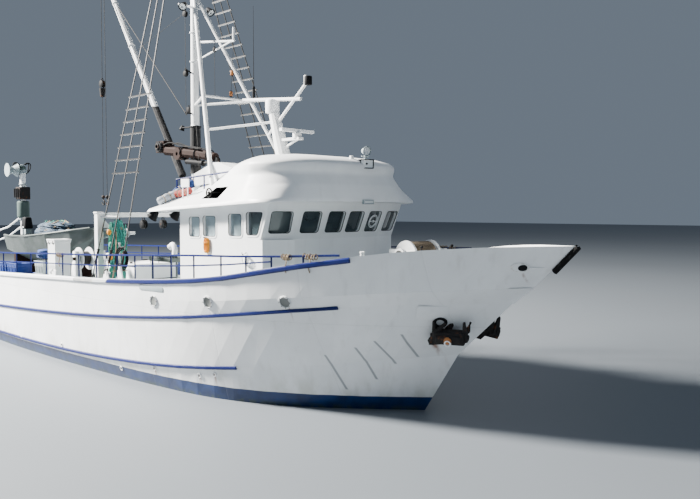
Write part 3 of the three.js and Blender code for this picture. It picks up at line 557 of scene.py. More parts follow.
def topside_paint(name, colours, sizes):
    finish = Finish(name)
    x, _, z = finish.axes()
    rust = tuple(colours.rust)
    paint, runs = weathered(finish, tuple(colours.white), 0.16, 0.78, rust)
    seams = seam(x, sizes.seam_step, 0.012).larger(seam(z - 1.9, 3.0, 0.01))
    paint = finish.mix(paint, shade(colours.white, 0.72), seams * 0.35)
    splash = z.band(0.95, 0.3) * finish.noise(2.2, 5, (1, 1, 0.5)).band(0.42, 0.72)
    paint = finish.mix(paint, (0.42, 0.42, 0.33), splash * 0.5)
    for station, top, length, width in RUST_RUNS:
        fade = z.band(top - length, top) * (top + 0.02 - z).band(0, 0.02)
        paint = finish.mix(paint, rust, abs(x - station).band(width, 0) * fade * runs.band(0.35, 0.6) * 0.85)
    scrapes = None
    for high_x, high_z, low_x, low_z in BOW_SCRAPES:
        slope = (low_x - high_x) / (low_z - high_z)
        line = abs(x - (z - high_z) * slope - high_x).band(0.03, 0.012)
        line = line * z.band(low_z, low_z + 0.03) * z.band(high_z, high_z - 0.03)
        scrapes = line if scrapes is None else scrapes.larger(line)
    paint = finish.mix(paint, (0.23, 0.25, 0.26), scrapes * 0.8)
    edge = finish.noise(1.5, 2) * 0.03 + sizes.boot_top
    under = (edge - z).band(0.0, 0.012)
    bottom = finish.mix(shade(colours.bottom, 0.7), shade(colours.bottom, 1.3), finish.noise(3, 5).band(0.3, 0.7))
    weed = z.band(0.14, 0.02) * finish.noise(6, 6).band(0.4, 0.6)
    bottom = finish.mix(bottom, (0.03, 0.05, 0.03), weed * 0.7)
    paint = finish.mix(paint, bottom, under)
    flat = finish.facing(2).band(0.7, 0.85) * z.band(1.6, 1.7)
    deck = finish.mix(tuple(colours.deck), shade(colours.deck, 0.6), finish.noise(2.4, 7).band(0.4, 0.75))
    paint = finish.mix(paint, deck, flat)
    frames = (x * (FULL_TURN / 0.62)).sine() * 0.05
    relief = finish.noise(0.8, 2) * 0.5 + frames - seams * 0.25 + finish.noise(45, 2) * 0.03
    return finish.surface(paint, runs * 0.25 + 0.3 + flat * 0.35, relief, 0.012)


def trim_paint(name, colours, bare_to=None):
    """Blue strake paint; aft of a station the strake is white and, a little forward of it, worn bare"""
    finish = Finish(name, Specular_IOR_Level=0.2)
    paint, runs = weathered(finish, tuple(colours.blue), 0.10, 0.74, tuple(colours.rust))
    rub = finish.noise(5, 5, (0.5, 1, 2.2))
    paint = finish.mix(paint, shade(colours.blue, 1.6), rub.band(0.55, 0.75) * 0.35)
    if bare_to is not None:
        x = finish.axes()[0]
        patches = x.band(bare_to + 1.6, bare_to - 0.1) + finish.noise(2.6, 5, (1, 1, 2)) * 0.7 - 0.35
        paint = finish.mix(paint, (0.60, 0.64, 0.66), patches.band(0.47, 0.53))
        worn = finish.mix((0.30, 0.31, 0.31), (0.46, 0.46, 0.44), rub.band(0.4, 0.6))
        paint = finish.mix(paint, worn, x.band(bare_to + 0.06, bare_to) * 0.9)
        paint = finish.mix(paint, shade(colours.white, 0.97), x.band(bare_to - 0.99, bare_to - 1.03))
    return finish.surface(paint, runs * 0.3 + 0.3, finish.noise(30, 4), 0.002)


def banded_paint(name, colours, low, high, reach):
    """Mast paint with a black band between two heights, near the middle line of the spar"""
    finish = Finish(name)
    _, y, z = finish.axes()
    paint, runs = weathered(finish, shade(colours.white, MAST_SHADE), 0.3, 0.7, tuple(colours.rust))
    black = finish.mix((0.007, 0.0075, 0.009), (0.03, 0.03, 0.03), finish.noise(9, 6).band(0.5, 0.72))
    edge = finish.noise(6, 3) * 0.04
    band = (z + edge).band(low, low + 0.02) * (z + edge).band(high + 0.02, high) * abs(y).band(reach + 0.01, reach)
    relief = finish.noise(0.9, 2) * 0.8 + finish.noise(60, 2) * 0.05
    return finish.surface(finish.mix(paint, black, band), runs * 0.3 + 0.4 + band * 0.4, relief, 0.003)


def laddered_wire(name):
    """Galvanised wire whose level rungs are white"""
    finish = Finish(name, Specular_IOR_Level=0.2)
    lay = finish.noise(30, 5, (1, 1, 0.3))
    wire = finish.mix((0.020, 0.021, 0.022), (0.045, 0.038, 0.030), lay.band(0.45, 0.7))
    rung = finish.mix((0.80, 0.82, 0.82), (0.62, 0.60, 0.55), finish.noise(9, 6).band(0.5, 0.75))
    level = abs(finish.facing(2)).band(0.38, 0.5)
    return finish.surface(finish.mix(wire, rung, level), lay * 0.3 + 0.4, lay, 0.002)


CANVASES = (
    ("grey_canvas", (0.20, 0.23, 0.27), (0.42, 0.45, 0.48)),
    ("blue_canvas", (0.004, 0.022, 0.10), (0.008, 0.045, 0.20)),
    ("red_canvas", (0.22, 0.02, 0.02), (0.42, 0.07, 0.05)),
)


# Plain paints: name, colour, share of dirt, edge of the chips, roughness
PAINTS = (
    ("grey_paint", (0.26, 0.31, 0.33), 0.5, 0.68, 0.45),
    ("brown_paint", (0.020, 0.0105, 0.0085), 0.3, 0.8, 0.55),
    ("black_paint", (0.009, 0.0095, 0.011), 0.15, 0.8, 0.5),
    ("blue_plastic", (0.010, 0.04, 0.22), 0.3, 0.85, 0.45),
    ("skiff_green", (0.07, 0.10, 0.095), 0.3, 0.78, 0.5),
    ("deadlight_grey", (0.15, 0.16, 0.155), 0.4, 0.74, 0.5),
)
# Mottled finishes: name, shader's constants, noise, both colours, edges of the second colour,
# roughness that the mottling adds, least roughness, relief in metres
MOTTLED = (
    ("rust_orange", {}, (11, 8, None, 0.7), (0.42, 0.16, 0.04), (0.16, 0.06, 0.025), (0.4, 0.65), 0.3, 0.6, 0.004),
    ("black_rubber", {"Specular_IOR_Level": 0.1}, (14, 7), (0.006, 0.006, 0.0065), (0.03, 0.03, 0.03),
     (0.5, 0.72), 0.3, 0.6, 0.003),
    ("steel_wire", {"Specular_IOR_Level": 0.1}, (30, 5, (1, 1, 0.3)), (0.020, 0.021, 0.022), (0.045, 0.038, 0.030),
     (0.45, 0.7), 0.3, 0.4, 0.002),
    ("bright_steel", {"Metallic": 0.4}, (12, 6), (0.82, 0.83, 0.82), (0.62, 0.62, 0.60), (0.5, 0.7), 0.2, 0.25, 0.001),
    ("worn_bronze", {"Metallic": 0.85}, (9, 7), (0.50, 0.32, 0.11), (0.20, 0.24, 0.15), (0.5, 0.7), 0.3, 0.3, 0.003),
)


def mottled(name, constants, noise, first, second, edges, added, least, depth):
    finish = Finish(name, **constants)
    patch = finish.noise(*noise)
    skin = finish.mix(first, second, patch.band(*edges))
    return finish.surface(skin, patch * added + least, patch, depth)


def make_finishes(colours, sizes):
    rust = tuple(colours.rust)
    white = tuple(colours.white)
    topside_paint("topside_paint", colours, sizes)
    own_paints = (
        ("house_paint", white, 0.1, 0.8, 0.32), ("mast_paint", shade(white, MAST_SHADE), 0.3, 0.7, 0.4),
        ("trim_blue", tuple(colours.blue), 0.12, 0.78, 0.32),
        ("orange_twine", tuple(colours.orange), 0.1, 0.9, 0.8, 0.002))
    for name, colour, *wear in (*PAINTS, *own_paints):
        plain_paint(name, colour, colours, *wear)
    trim_paint("trim_paint", colours)
    trim_paint("gunwale_paint", colours, 0.1)
    banded_paint("sleeved_mast_paint", colours, 5.2, 6.5, 0.2)
    banded_paint("boom_paint", colours, -4.0, 7.27, 0.5)
    laddered_wire("shroud_wire")
    for row in MOTTLED:
        mottled(*row)
    for name, colour in (("laid_rope", tuple(colours.rope)), ("dark_rope", shade(colours.rope, 0.42))):
        strands = (40, 5, (1, 1, 1.6), 0.7)
        mottled(name, {}, strands, shade(colour, 0.5), shade(colour, 1.2), (0.35, 0.65), 0.2, 0.75, 0.006)

    bottom = Finish("bottom_paint")
    tone = bottom.noise(2.5, 6)
    slime = bottom.mix(shade(colours.bottom, 0.6), (0.02, 0.05, 0.035), bottom.noise(7, 7).band(0.45, 0.7))
    bottom.surface(bottom.mix(tuple(colours.bottom), slime, tone.band(0.4, 0.6)), tone * 0.3 + 0.5, tone, 0.003)

    glass = Finish("window_glass", Coat_Weight=1.0, Coat_Roughness=0.02)
    x, y, z = glass.axes()
    # Painted reflection: lighter patches over the dark glass, and a pale streak on the side panes aft of the front
    reflection_patches = glass.noise(1.1, 3).band(0.35, 0.7)
    pane = glass.mix(tuple(colours.glass), (0.055, 0.075, 0.08), reflection_patches)
    side_pane_reflection = abs(y).band(1.98, 2.02) * x.band(5.1, 4.9) * glass.noise(1.7, 2).band(0.2, 0.6)
    pane = glass.mix(pane, (0.28, 0.36, 0.40), side_pane_reflection)
    glass.surface(pane, glass.noise(30, 2) * 0.04 + 0.05, glass.noise(1.4, 1), 0.002)

    iron = Finish("rusty_iron", Specular_IOR_Level=0.15)
    patch = iron.noise(8, 8, roughness=0.65)
    skin = iron.mix((0.018, 0.017, 0.017), shade(rust, 0.6), patch.band(0.54, 0.72))
    iron.surface(skin, patch * 0.4 + 0.5, patch, 0.004, patch.band(0.5, 0.3) * 0.4)

    plate = Finish("bare_aluminium", Metallic=0.4)
    brushed = plate.noise(2, 6, (3, 3, 14))
    stain = plate.noise(1.6, 6).band(0.4, 0.7)
    skin = plate.mix((0.085, 0.10, 0.10), (0.045, 0.06, 0.055), stain)
    plate.surface(skin, brushed * 0.3 + 0.38, plate.noise(1.4, 3) + brushed * 0.1, 0.01)

    for name, colour in (("net_twine", tuple(colours.net)), ("green_twine", (0.05, 0.36, 0.26)),
                         ("dark_netting", (0.03, 0.06, 0.10))):
        twine = Finish(name)
        x, y, z = twine.axes()
        mesh = ((x + y) * 190).sine().larger(((x + y) * 0.6 - z).math("MULTIPLY", (x + y) * 0.6 - z, 190).sine())
        weave = twine.noise(24, 6, roughness=0.7) * 0.7 + mesh * 0.2
        skin = twine.mix(shade(colour, 0.4), shade(colour, 1.6), weave.band(0.3, 0.65))
        twine.surface(skin, weave * 0.2 + 0.7, weave, 0.012)

    lens = Finish("lamp_glass", Coat_Weight=1.0)
    ribs = (lens.axes()[2] * 260).sine()
    lens.surface(lens.mix((0.55, 0.60, 0.62), (0.82, 0.86, 0.88), ribs.band(-1, 1)), ribs * 0.05 + 0.15, ribs, 0.001)

    for name, dark, light in CANVASES:
        canvas = Finish(name)
        fold = canvas.noise(6, 5)
        weave = (canvas.axes()[0] * 900).sine() + (canvas.axes()[2] * 900).sine()
        cloth = canvas.mix(dark, light, fold.band(0.35, 0.65))
        canvas.surface(cloth, fold * 0.1 + 0.8, fold + canvas.noise(140, 1) * 0.1 + weave * 0.02, 0.006)


NODE_FINISH = (
    ("topside_paint", ("hull", "bow_bulwark", "starboard_bulwark", "port_bulwark", "stern_bulwark")),
    ("house_paint", ("wheelhouse_walls", "wheelhouse_front", "wheelhouse_door", "wheelhouse_roof", "roof_casing",
                     "deck_locker", "fore_locker", "hatch_coaming", "hatch_lid", "radar_scanner")),
    ("sleeved_mast_paint", ("mast",)),
    ("boom_paint", ("cargo_boom",)),
    ("mast_paint", ("mast_legs", "radar_post", "net_gantry", "windlass_frame",
                    "windlass_drum", "hauler_post")),
    ("gunwale_paint", ("starboard_gunwale_strake", "port_gunwale_strake")),
    ("trim_paint", ("starboard_middle_strake", "port_middle_strake", "starboard_low_strake", "port_low_strake",
                    "starboard_rail", "port_rail")),
    ("window_glass", ("front_glazing", "starboard_glazing", "port_glazing")),
    ("rusty_iron", ("starboard_anchor", "port_anchor", "fore_bitts", "aft_bitts")),
    ("black_rubber", ("stem_fender",)),
    ("net_twine", ("net_bundle",)),
    ("brown_paint", ("crane_jib", "skiff_cradle")),
    ("bare_aluminium", ("skiff",)),
    ("shroud_wire", ("starboard_shrouds", "port_shrouds")),
    ("grey_paint", ("hauler_head", "net_roller")),
    ("worn_bronze", ("propeller",)),
    ("bottom_paint", ("rudder",)),
)


class VESSEL_OT_finishes(bpy.types.Operator):
    """Makes the paints and gives each node of the frame its own"""

    bl_idname = "vessel.finishes"
    bl_label = "Finishes"

    def execute(self, context):
        make_finishes(context.scene.vessel_colours, context.scene.vessel_sizes)
        for finish, nodes in NODE_FINISH:
            for node in nodes:
                painted(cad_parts[node], finish)
        return {"FINISHED"}


# Hull fittings


# Portholes, by station and height
BOLTS = 8
PORTHOLES = ((2.805, 2.085), (4.689, 2.205), (6.656, 2.33), (-9.2, 1.5))


def porthole(radius):
    """A ring with its sunk deadlight and bolts, facing up at the origin"""
    rim = drum("porthole", (0, 0, -0.02), (0, 0, 0.022), radius, 32)
    push_faces(rim, facing_up, inset=radius * 0.1, push=0.01)
    push_faces(rim, lambda c, n: n.z > 0.9 and c.z > 0.03, inset=radius * 0.06, push=-0.018)
    round_edges(rim, 0.004)
    painted(rim, "mast_paint")
    paint_faces(rim, "deadlight_grey", lambda c, n: n.z > 0.9 and c.z < 0.02 and c.xy.length < radius * 0.5)
    bolts = [drum("bolt", (0, 0, 0.02), (0, 0, 0.042), 0.009, 6) for _ in range(BOLTS)]
    for i, bolt in enumerate(bolts):
        placed(bolt, Matrix.Rotation(i * FULL_TURN / BOLTS, 4, "Z") @ at(radius * 0.9, 0, 0))
        painted(bolt, "rusty_iron")
    return joined("porthole", [rim, *bolts])


def set_in_side(model, skin, label, spots, side, hand):
    """Copies a fitting to the stations and heights of one side"""
    for i, (x, z) in enumerate(spots):
        place, normal = skin.side(x, z, hand)
        fitted(copied(model, f"{side}_{label}_{i + 1}", outward(place, normal)))


class VESSEL_OT_portholes(bpy.types.Operator):
    """Sets the portholes in the topsides"""

    bl_idname = "vessel.portholes"
    bl_label = "Portholes"

    def execute(self, context):
        skin = Skin("hull", "starboard_bulwark", "port_bulwark")
        model = porthole(context.scene.vessel_sizes.porthole)
        for side, hand in SIDES:
            set_in_side(model, skin, "porthole", PORTHOLES, side, hand)
        scrap(model)
        return {"FINISHED"}


# Scuppers near the low strake and freeing ports in the bulwark, by station and height
SCUPPERS = ((-9.2, 0.42), (-4.7, 0.36), (-1.95, 0.49), (1.02, 0.25), (2.5, 0.46), (4.03, 0.49), (4.48, 0.57))
FREEING_PORTS = ((-9.6, 1.97),)
# Chainplates: station and height of each; they stand at one distance from the middle line
CHAINPLATES = ((1.3, 0.34), (0.62, 0.20), (-0.08, 0.20))
CHAINPLATE_Y = 3.11


def scupper():
    lip = ring("scupper", (0, 0, 0.008), (0, 0, 1), 0.048, 0.012, 20, 6)
    mouth = drum("mouth", (0, 0, -0.02), (0, 0, 0.006), 0.046, 20)
    push_faces(mouth, facing_up, inset=0.008, push=-0.012)
    painted(lip, "house_paint")
    painted(mouth, "rusty_iron")
    return joined("scupper", [lip, mouth])


def freeing_port():
    frame_rim = rounded_plate("rim", 0.56, 0.22, 0.05, 0.014, 0.03)
    flap = rounded_plate("flap", 0.49, 0.15, 0.03, 0.008)
    painted(round_edges(frame_rim, 0.004), "house_paint")
    painted(round_edges(flap, 0.003), "rusty_iron")
    hinges = [drum("hinge", (x - 0.03, 0.085, 0.012), (x + 0.03, 0.085, 0.012), 0.011, 10) for x in (-0.15, 0.15)]
    for hinge in hinges:
        painted(hinge, "rusty_iron")
    return joined("freeing_port", [frame_rim, flap, *hinges])


def chainplate(height):
    """An upright plate that narrows to an eye, standing in the x and z plane"""
    plate = block("chainplate", (-0.17, -0.018, 0), (0.17, 0.018, height))
    squeeze(plate, facing_up, (0.4, 1, 1))
    round_edges(plate, 0.02, 3)
    eye = ring("eye", (0, 0, height * 0.66), (0, 1, 0), 0.05, 0.022, 20, 8)
    shackle = pipe("shackle", [(0, -0.05, height * 0.7), (0, -0.03, height + 0.04), (0, 0.03, height + 0.04),
                               (0, 0.05, height * 0.7)], 0.012, curved=True)
    for part, finish in ((plate, "house_paint"), (eye, "house_paint"), (shackle, "rusty_iron")):
        painted(part, finish)
    return joined("chainplate", [plate, eye, shackle])


# The stem's station by height
STEM_LINE = (
    (2.4, 10.42), (2.5, 10.53), (2.7, 10.80), (2.8, 10.90), (2.9, 11.01), (3.0, 11.12), (3.1, 11.24), (3.2, 11.36))
SHEET_THICK = 0.012


class VESSEL_OT_hull_fittings(bpy.types.Operator):
    """Adds the stem plate, scuppers, freeing ports, chainplates, fairleads, hawse plates and doubling plates"""

    bl_idname = "vessel.hull_fittings"
    bl_label = "Hull fittings"

    def stem_plate(self):
        """A doubler plate wrapped round the stem below the fender"""
        clear_selection()
        bpy.ops.mesh.primitive_grid_add(x_subdivisions=16, y_subdivisions=12, size=2)
        plate = named("stem_plate")
        for vertex in plate.data.vertices:
            z = 2.78 + 0.36 * vertex.co.y
            stem = table_at(STEM_LINE, z)[0]
            back = 0.40 * abs(vertex.co.x) ** 1.5
            wide = 0.89 * (math.sqrt(back * back + 0.0016) - 0.04) + 0.012
            vertex.co = (stem - back + 0.006, math.copysign(wide, vertex.co.x) if abs(vertex.co.x) > 1e-4 else 0, z)
        apply_modifier(plate, "SOLIDIFY", thickness=SHEET_THICK, offset=0)
        fitted(painted(plate, "topside_paint"))

    def execute(self, context):
        self.stem_plate()
        skin = Skin("hull", "starboard_bulwark", "port_bulwark", "bow_bulwark")
        drain = scupper()
        port = freeing_port()
        for side, hand in SIDES:
            set_in_side(drain, skin, "scupper", SCUPPERS, side, hand)
            set_in_side(port, skin, "freeing_port", FREEING_PORTS, side, hand)
            for i, (x, height) in enumerate(CHAINPLATES):
                place, _ = skin.cast((x, hand * CHAINPLATE_Y, 4), (0, 0, -1))
                plate = placed(chainplate(height), Matrix.Translation(place - UP * 0.03))
                plate.name = f"{side}_chainplate_{i + 1}"
                fitted(plate)
            self.plate(skin, side, hand, "doubling_plate", (2.72, 2.37), (0.95, 0.12, 0.05), "grey_paint", "grey_paint")
            self.fairleads(skin, side, hand)
            self.hawse(skin, side, hand)
        scrap(drain, port)
        return {"FINISHED"}

    def plate(self, skin, side, hand, label, spot, size, finish, slot):
        """A thin plate on the shell; its size is its width, height and corner"""
        place, normal = skin.side(*spot, hand)
        plate = rounded_plate(f"{side}_{label}", *size, SHEET_THICK)
        painted(round_edges(plate, 0.004), finish)
        fitted(placed(plate, outward(place, normal)))

    def fairleads(self, skin, side, hand):
        """Open lips on the bulwark top and closed lips in the bow; the bow lip's hole is painted light and shade, not
        cut
        """
        for i, (x, z) in enumerate(((-10.6, 1.9), (-2.3, 2.1))):
            place, _ = skin.rim(x, z, hand)
            lips = []
            for k in (-1, 1):
                path = [place + Vector((k * 0.17, 0, -0.01)), place + Vector((k * 0.16, 0, 0.1)),
                        place + Vector((k * 0.06, 0, 0.13))]
                lips.append(painted(pipe("lip", path, 0.032, curved=True), "mast_paint"))
            base = block("base", place + Vector((-0.2, -0.045, -0.02)), place + Vector((0.2, 0.045, 0.02)))
            lips.append(painted(round_edges(base, 0.01), "mast_paint"))
            fitted(joined(f"{side}_fairlead_{i + 1}", lips))
        place, normal = skin.side(10.81, 3.14, hand)
        parts = []
        # The hole is painted: the white back disc is painted light, the lit far bulwark seen through it, and the offset
        # black mouth disc is painted shade inside the hole
        for label, centre, height, radius, squash, finish in (
                ("eye", 0.0, 0.02, 0.165, 0.6, "bright_steel"), ("back", 0.0, 0.026, 0.135, 0.55, "house_paint"),
                ("mouth", -0.045 * hand, 0.03, 0.085, 0.8, "black_paint")):
            plate = drum(label, (centre, 0, -0.02), (centre, 0, height), radius, 32)
            for vertex in plate.data.vertices:
                vertex.co.y *= squash
            parts.append(painted(plate, finish))
        fitted(placed(joined(f"{side}_bow_fairlead", parts), outward(place, normal)))

    def hawse(self, skin, side, hand):
        """A pale doubling above the anchor and the hawse lip that its shank enters"""
        self.plate(skin, side, hand, "hawse_plate", (9.18, 2.2), (0.62, 0.36, 0.08), "house_paint", "white_paint")
        place, normal = skin.side(9.2, 2.0, hand)
        lip = ring(f"{side}_hawse_lip", place, normal, 0.11, 0.035)
        fitted(painted(lip, "black_paint"))


# Windows and the wheelhouse

PANE_LEAN = 0.42
PANE_MIDDLE = 3.907
PANE_HEIGHT = 0.504
HOUSE_SILL = 3.53
HOUSE_SIDE = 2.085
# The front's station at its corners, and how far it bows forward between them
FRONT_CORNER = 5.46
FRONT_BOW = 0.31
# Front panes: middle and width; the clear-view screen is in the pane of this index
FRONT_PANES = ((-1.725, 0.52), (-0.99, 0.49), (-0.31, 0.49), (0.31, 0.49), (0.99, 0.49), (1.725, 0.52))
CLEAR_VIEW_PANE = 4
# Side panes: aft edge, foot and head of the fore edge, foot and head
SIDE_PANES = (
    (2.78, 3.21, 3.21, 3.55, 4.005), (3.35, 3.84, 3.84, 3.57, 4.03),
    (4.34, 4.81, 4.81, 3.60, 4.08), (4.99, 5.38, 5.57, 3.63, 4.12),
)


def window_frame(width, height, gasket):
    """A painted rim with a dark gasket inside it, its middle at the origin"""
    rim = rounded_plate("rim", width + 0.10, height + 0.10, 0.10, 0.010, 0.045)
    seal = rounded_plate("seal", width + 0.016, height + 0.016, 0.075, 0.016, gasket)
    painted(round_edges(rim, 0.003), "house_paint")
    painted(round_edges(seal, 0.003), "black_rubber")
    return joined("window_frame", [rim, seal])


def slanted(obj, shift, height):
    """Leans the forward edge of a side frame by moving its right half with height"""
    for vertex in obj.data.vertices:
        if vertex.co.x > 0:
            vertex.co.x += shift * (vertex.co.y / height + 0.5)
    return obj


class VESSEL_OT_window_frames(bpy.types.Operator):
    """Frames the wheelhouse windows and sets the clear-view screen"""

    bl_idname = "vessel.window_frames"
    bl_label = "Window frames"

    def execute(self, context):
        gasket = context.scene.vessel_sizes.gasket
        for i, (y, width) in enumerate(FRONT_PANES):
            share = y / HOUSE_SIDE
            x = FRONT_CORNER + FRONT_BOW * (1 - share * share) + PANE_LEAN * (PANE_MIDDLE - HOUSE_SILL)
            matrix = outward(Vector((x, y, PANE_MIDDLE)), (1, 2 * FRONT_BOW * share / HOUSE_SIDE, -PANE_LEAN))
            piece = placed(window_frame(width, PANE_HEIGHT, gasket), matrix)
            piece.name = f"front_window_frame_{i + 1}"
            fitted(piece)
            if i == CLEAR_VIEW_PANE:
                self.clear_view(matrix)
        for side, hand in SIDES:
            for i, (aft, low_fore, high_fore, low, high) in enumerate(SIDE_PANES):
                piece = window_frame(low_fore - aft, high - low, gasket * 0.8)
                slanted(piece, high_fore - low_fore, high - low)
                if hand > 0:
                    piece = self.turned(piece)
                middle = Vector(((aft + low_fore) / 2, hand * HOUSE_SIDE, (low + high) / 2))
                placed(piece, outward(middle, (0, hand, 0)))
                piece.name = f"{side}_window_frame_{i + 1}"
                fitted(piece)
        return {"FINISHED"}

    def turned(self, piece):
        piece.scale = (-1, 1, 1)
        settle(piece)
        bpy.ops.object.mode_set(mode="EDIT")
        bpy.ops.mesh.select_all(action="SELECT")
        bpy.ops.mesh.normals_make_consistent(inside=False)
        bpy.ops.object.mode_set(mode="OBJECT")
        return piece

    def clear_view(self, matrix):
        """A round spinning screen in one front pane"""
        screen = kit(
            "clear_view_screen", (ring, "mast_paint", (0, 0, 0.006), UP, 0.155, 0.010, 36, 6),
            (ring, "mast_paint", (0, 0, 0.006), UP, 0.125, 0.006, 36, 6),
            (rounded_drum, "mast_paint", (0, 0, 0), (0, 0, 0.03), 0.03, 18, 0.006),
            (block, "mast_paint", (-0.15, -0.008, 0.004), (0.15, 0.008, 0.014)))
        fitted(placed(screen, matrix))


def lamp_head(name, place, aim, radius, depth, finish="black_paint"):
    """A round lamp with a rim and a glass"""
    place = Vector(place)
    aim = Vector(aim).normalized()
    shell = taper("shell", place - aim * depth, place, radius * 0.55, radius, 24)
    push_faces(shell, lambda c, n: n.dot(aim) > 0.95, inset=radius * 0.12)
    push_faces(shell, lambda c, n: n.dot(aim) > 0.95 and (c - place).length < radius * 0.3, push=-radius * 0.12)
    round_edges(shell, radius * 0.05)
    painted(shell, finish)
    paint_faces(shell, "lamp_glass", lambda c, n: n.dot(aim) > 0.9 and (c - place).length < radius * 0.7)
    rim = painted(ring("rim", place, aim, radius, radius * 0.09, 24, 6), finish)
    return joined(name, [shell, rim])


def flood_lamp(name, place, aim, width, height, finish="black_paint"):
    """A box lamp with a finned back and a sunk glass"""
    body = block("body", (-width / 2, -height / 2, -0.09), (width / 2, height / 2, 0.0))
    squeeze(body, facing_down, (0.6, 0.5, 1))
    push_faces(body, facing_up, inset=height * 0.09)
    push_faces(body, lambda c, n: n.z > 0.9 and abs(c.x) < 0.02 and abs(c.y) < 0.02, push=-0.02)
    round_edges(body, 0.008)
    painted(body, finish)
    paint_faces(body, "lamp_glass", lambda c, n: n.z > 0.9 and abs(c.x) < width * 0.3 and abs(c.y) < height * 0.3)
    fins = [block("fin", (x - 0.006, -height * 0.36, -0.12), (x + 0.006, height * 0.36, -0.06))
            for x in (-width * 0.24, 0, width * 0.24)]
    for fin in fins:
        painted(fin, finish)
    lamp = joined(name, [body, *fins])
    return placed(lamp, outward(Vector(place), aim))


class VESSEL_OT_house_fittings(bpy.types.Operator):
    """Hangs the hanked line, hose, lamps and door handle on the wheelhouse and lids the locker"""

    bl_idname = "vessel.house_fittings"
    bl_label = "House fittings"

    def execute(self, context):
        self.hanks()
        self.lockers()
        visor = block("visor_lamp", (6.405, 0.06, 4.30), (6.48, 0.38, 4.40))
        push_faces(visor, lambda c, n: n.x > 0.9, inset=0.02, push=-0.015)
        painted(round_edges(visor, 0.01), "grey_paint")
        paint_faces(visor, "lamp_glass", lambda c, n: n.x > 0.9 and abs(c.z - 4.35) < 0.02)
        fitted(visor)
        for i, y in enumerate((-2.25, -1.62, -1.0)):
            lamp = lamp_head(f"aft_deck_lamp_{i + 1}", (1.36, y, 3.98), (-0.55, -0.35, -0.75), 0.13, 0.2)
            stem = painted(drum("stem", (1.40, y + 0.03, 4.0), (1.46, y + 0.03, 4.14), 0.018, 8), "black_paint")
            fitted(joined(f"aft_deck_lamp_{i + 1}", [lamp, stem]))
        grip = [(x, -0.62, z) for x, z in ((2.325, 3.15), (2.25, 3.15), (2.25, 3.0), (2.25, 2.98))]
        handle = pipe("door_handle", grip, 0.01)
        fitted(painted(handle, "rusty_iron"), "door")
        return {"FINISHED"}

    def hanks(self):
        """An orange line hanked on a peg and a hose in loops, both on the starboard wall"""
        turns = [k / 8 * FULL_TURN for k in range(9)]
        rows = []
        for i in range(5):
            middle, y = 3.52 + (i - 2) * 0.022, -2.125 - 0.014 * (i % 2)
            points = [(middle + 0.055 * math.sin(turn), y, 3.36 + 0.17 * math.cos(turn)) for turn in turns]
            rows.append((pipe, "orange_twine", points, 0.014, True, 6))
        for z, radius in ((3.42, 0.06), (3.22, 0.045)):
            rows.append((ring, "orange_twine", (3.52, -2.125, z), (0.1, 0, 1), radius, 0.018, 18, 6))
        rows.append((drum, "rusty_iron", (3.52, -2.08, 3.52), (3.52, -2.2, 3.54), 0.016, 10))
        fitted(kit("orange_line_hank", *rows))
        x = 4.98
        rows = [(ring, "house_paint", (x + 0.015 * i, -2.12 - 0.022 * i, 3.1), (0.08 * i, 1, 0.04), 0.11, 0.012, 30, 6)
                for i in range(3)]
        rows.append((pipe, "rusty_iron", [(x, -2.09, 3.24), (x, -2.2, 3.2), (x, -2.21, 3.25)], 0.01))
        fitted(kit("hose_loops", *rows))

    def lockers(self):
        lid = block("deck_locker_lid", (-3.33, -2.88, 3.30), (-2.82, -2.37, 3.3395))
        push_faces(lid, facing_up, inset=0.05, push=-0.008)
        painted(round_edges(lid, 0.012, 3), "house_paint")
        drop_faces(lid, facing_down)
        latches = [painted(slab("latch", (x - 0.02, -2.875, 3.2), (x + 0.02, -2.85, 3.31), 0.006), "rusty_iron")
                   for x in (-3.2, -2.95)]
        skirt = painted(slab("skirt", (-3.32, -2.87, 3.24), (-2.83, -2.38, 3.30), 0.01), "house_paint")
        fitted(joined("deck_locker_lid", [lid, skirt, *latches]))


# Roof, mast, boom and crane


def wire_run(name, points, radius, body, finish="steel_wire", curved=False):
    line = painted(pipe(name, points, radius, curved=curved, sides=6), finish)
    return fitted(line, body)


def pulley(name, centre, axis, radius):
    """A block with two cheeks, a grooved sheave, a pin and an eye above it"""
    centre = Vector(centre)
    axis = Vector(axis).normalized()
    parts = []
    for k in (-1, 1):
        cheek = drum("cheek", centre + axis * k * radius * 0.32, centre + axis * k * radius * 0.5, radius, 20)
        push_faces(cheek, lambda c, n, k=k: n.dot(axis) * k > 0.9, inset=radius * 0.3, push=radius * 0.08)
        parts.append(painted(round_edges(cheek, radius * 0.06), "black_paint"))
    parts.append(painted(ring("groove", centre, axis, radius * 0.72, radius * 0.2, 20, 8), "rusty_iron"))
    pin = drum("pin", centre - axis * radius * 0.6, centre + axis * radius * 0.6, radius * 0.16, 10)
    eye = ring("eye", centre + UP * radius * 1.2, axis.cross(UP), radius * 0.3, radius * 0.1, 14, 6)
    parts += [painted(pin, "rusty_iron"), painted(eye, "rusty_iron")]
    return joined(name, parts)


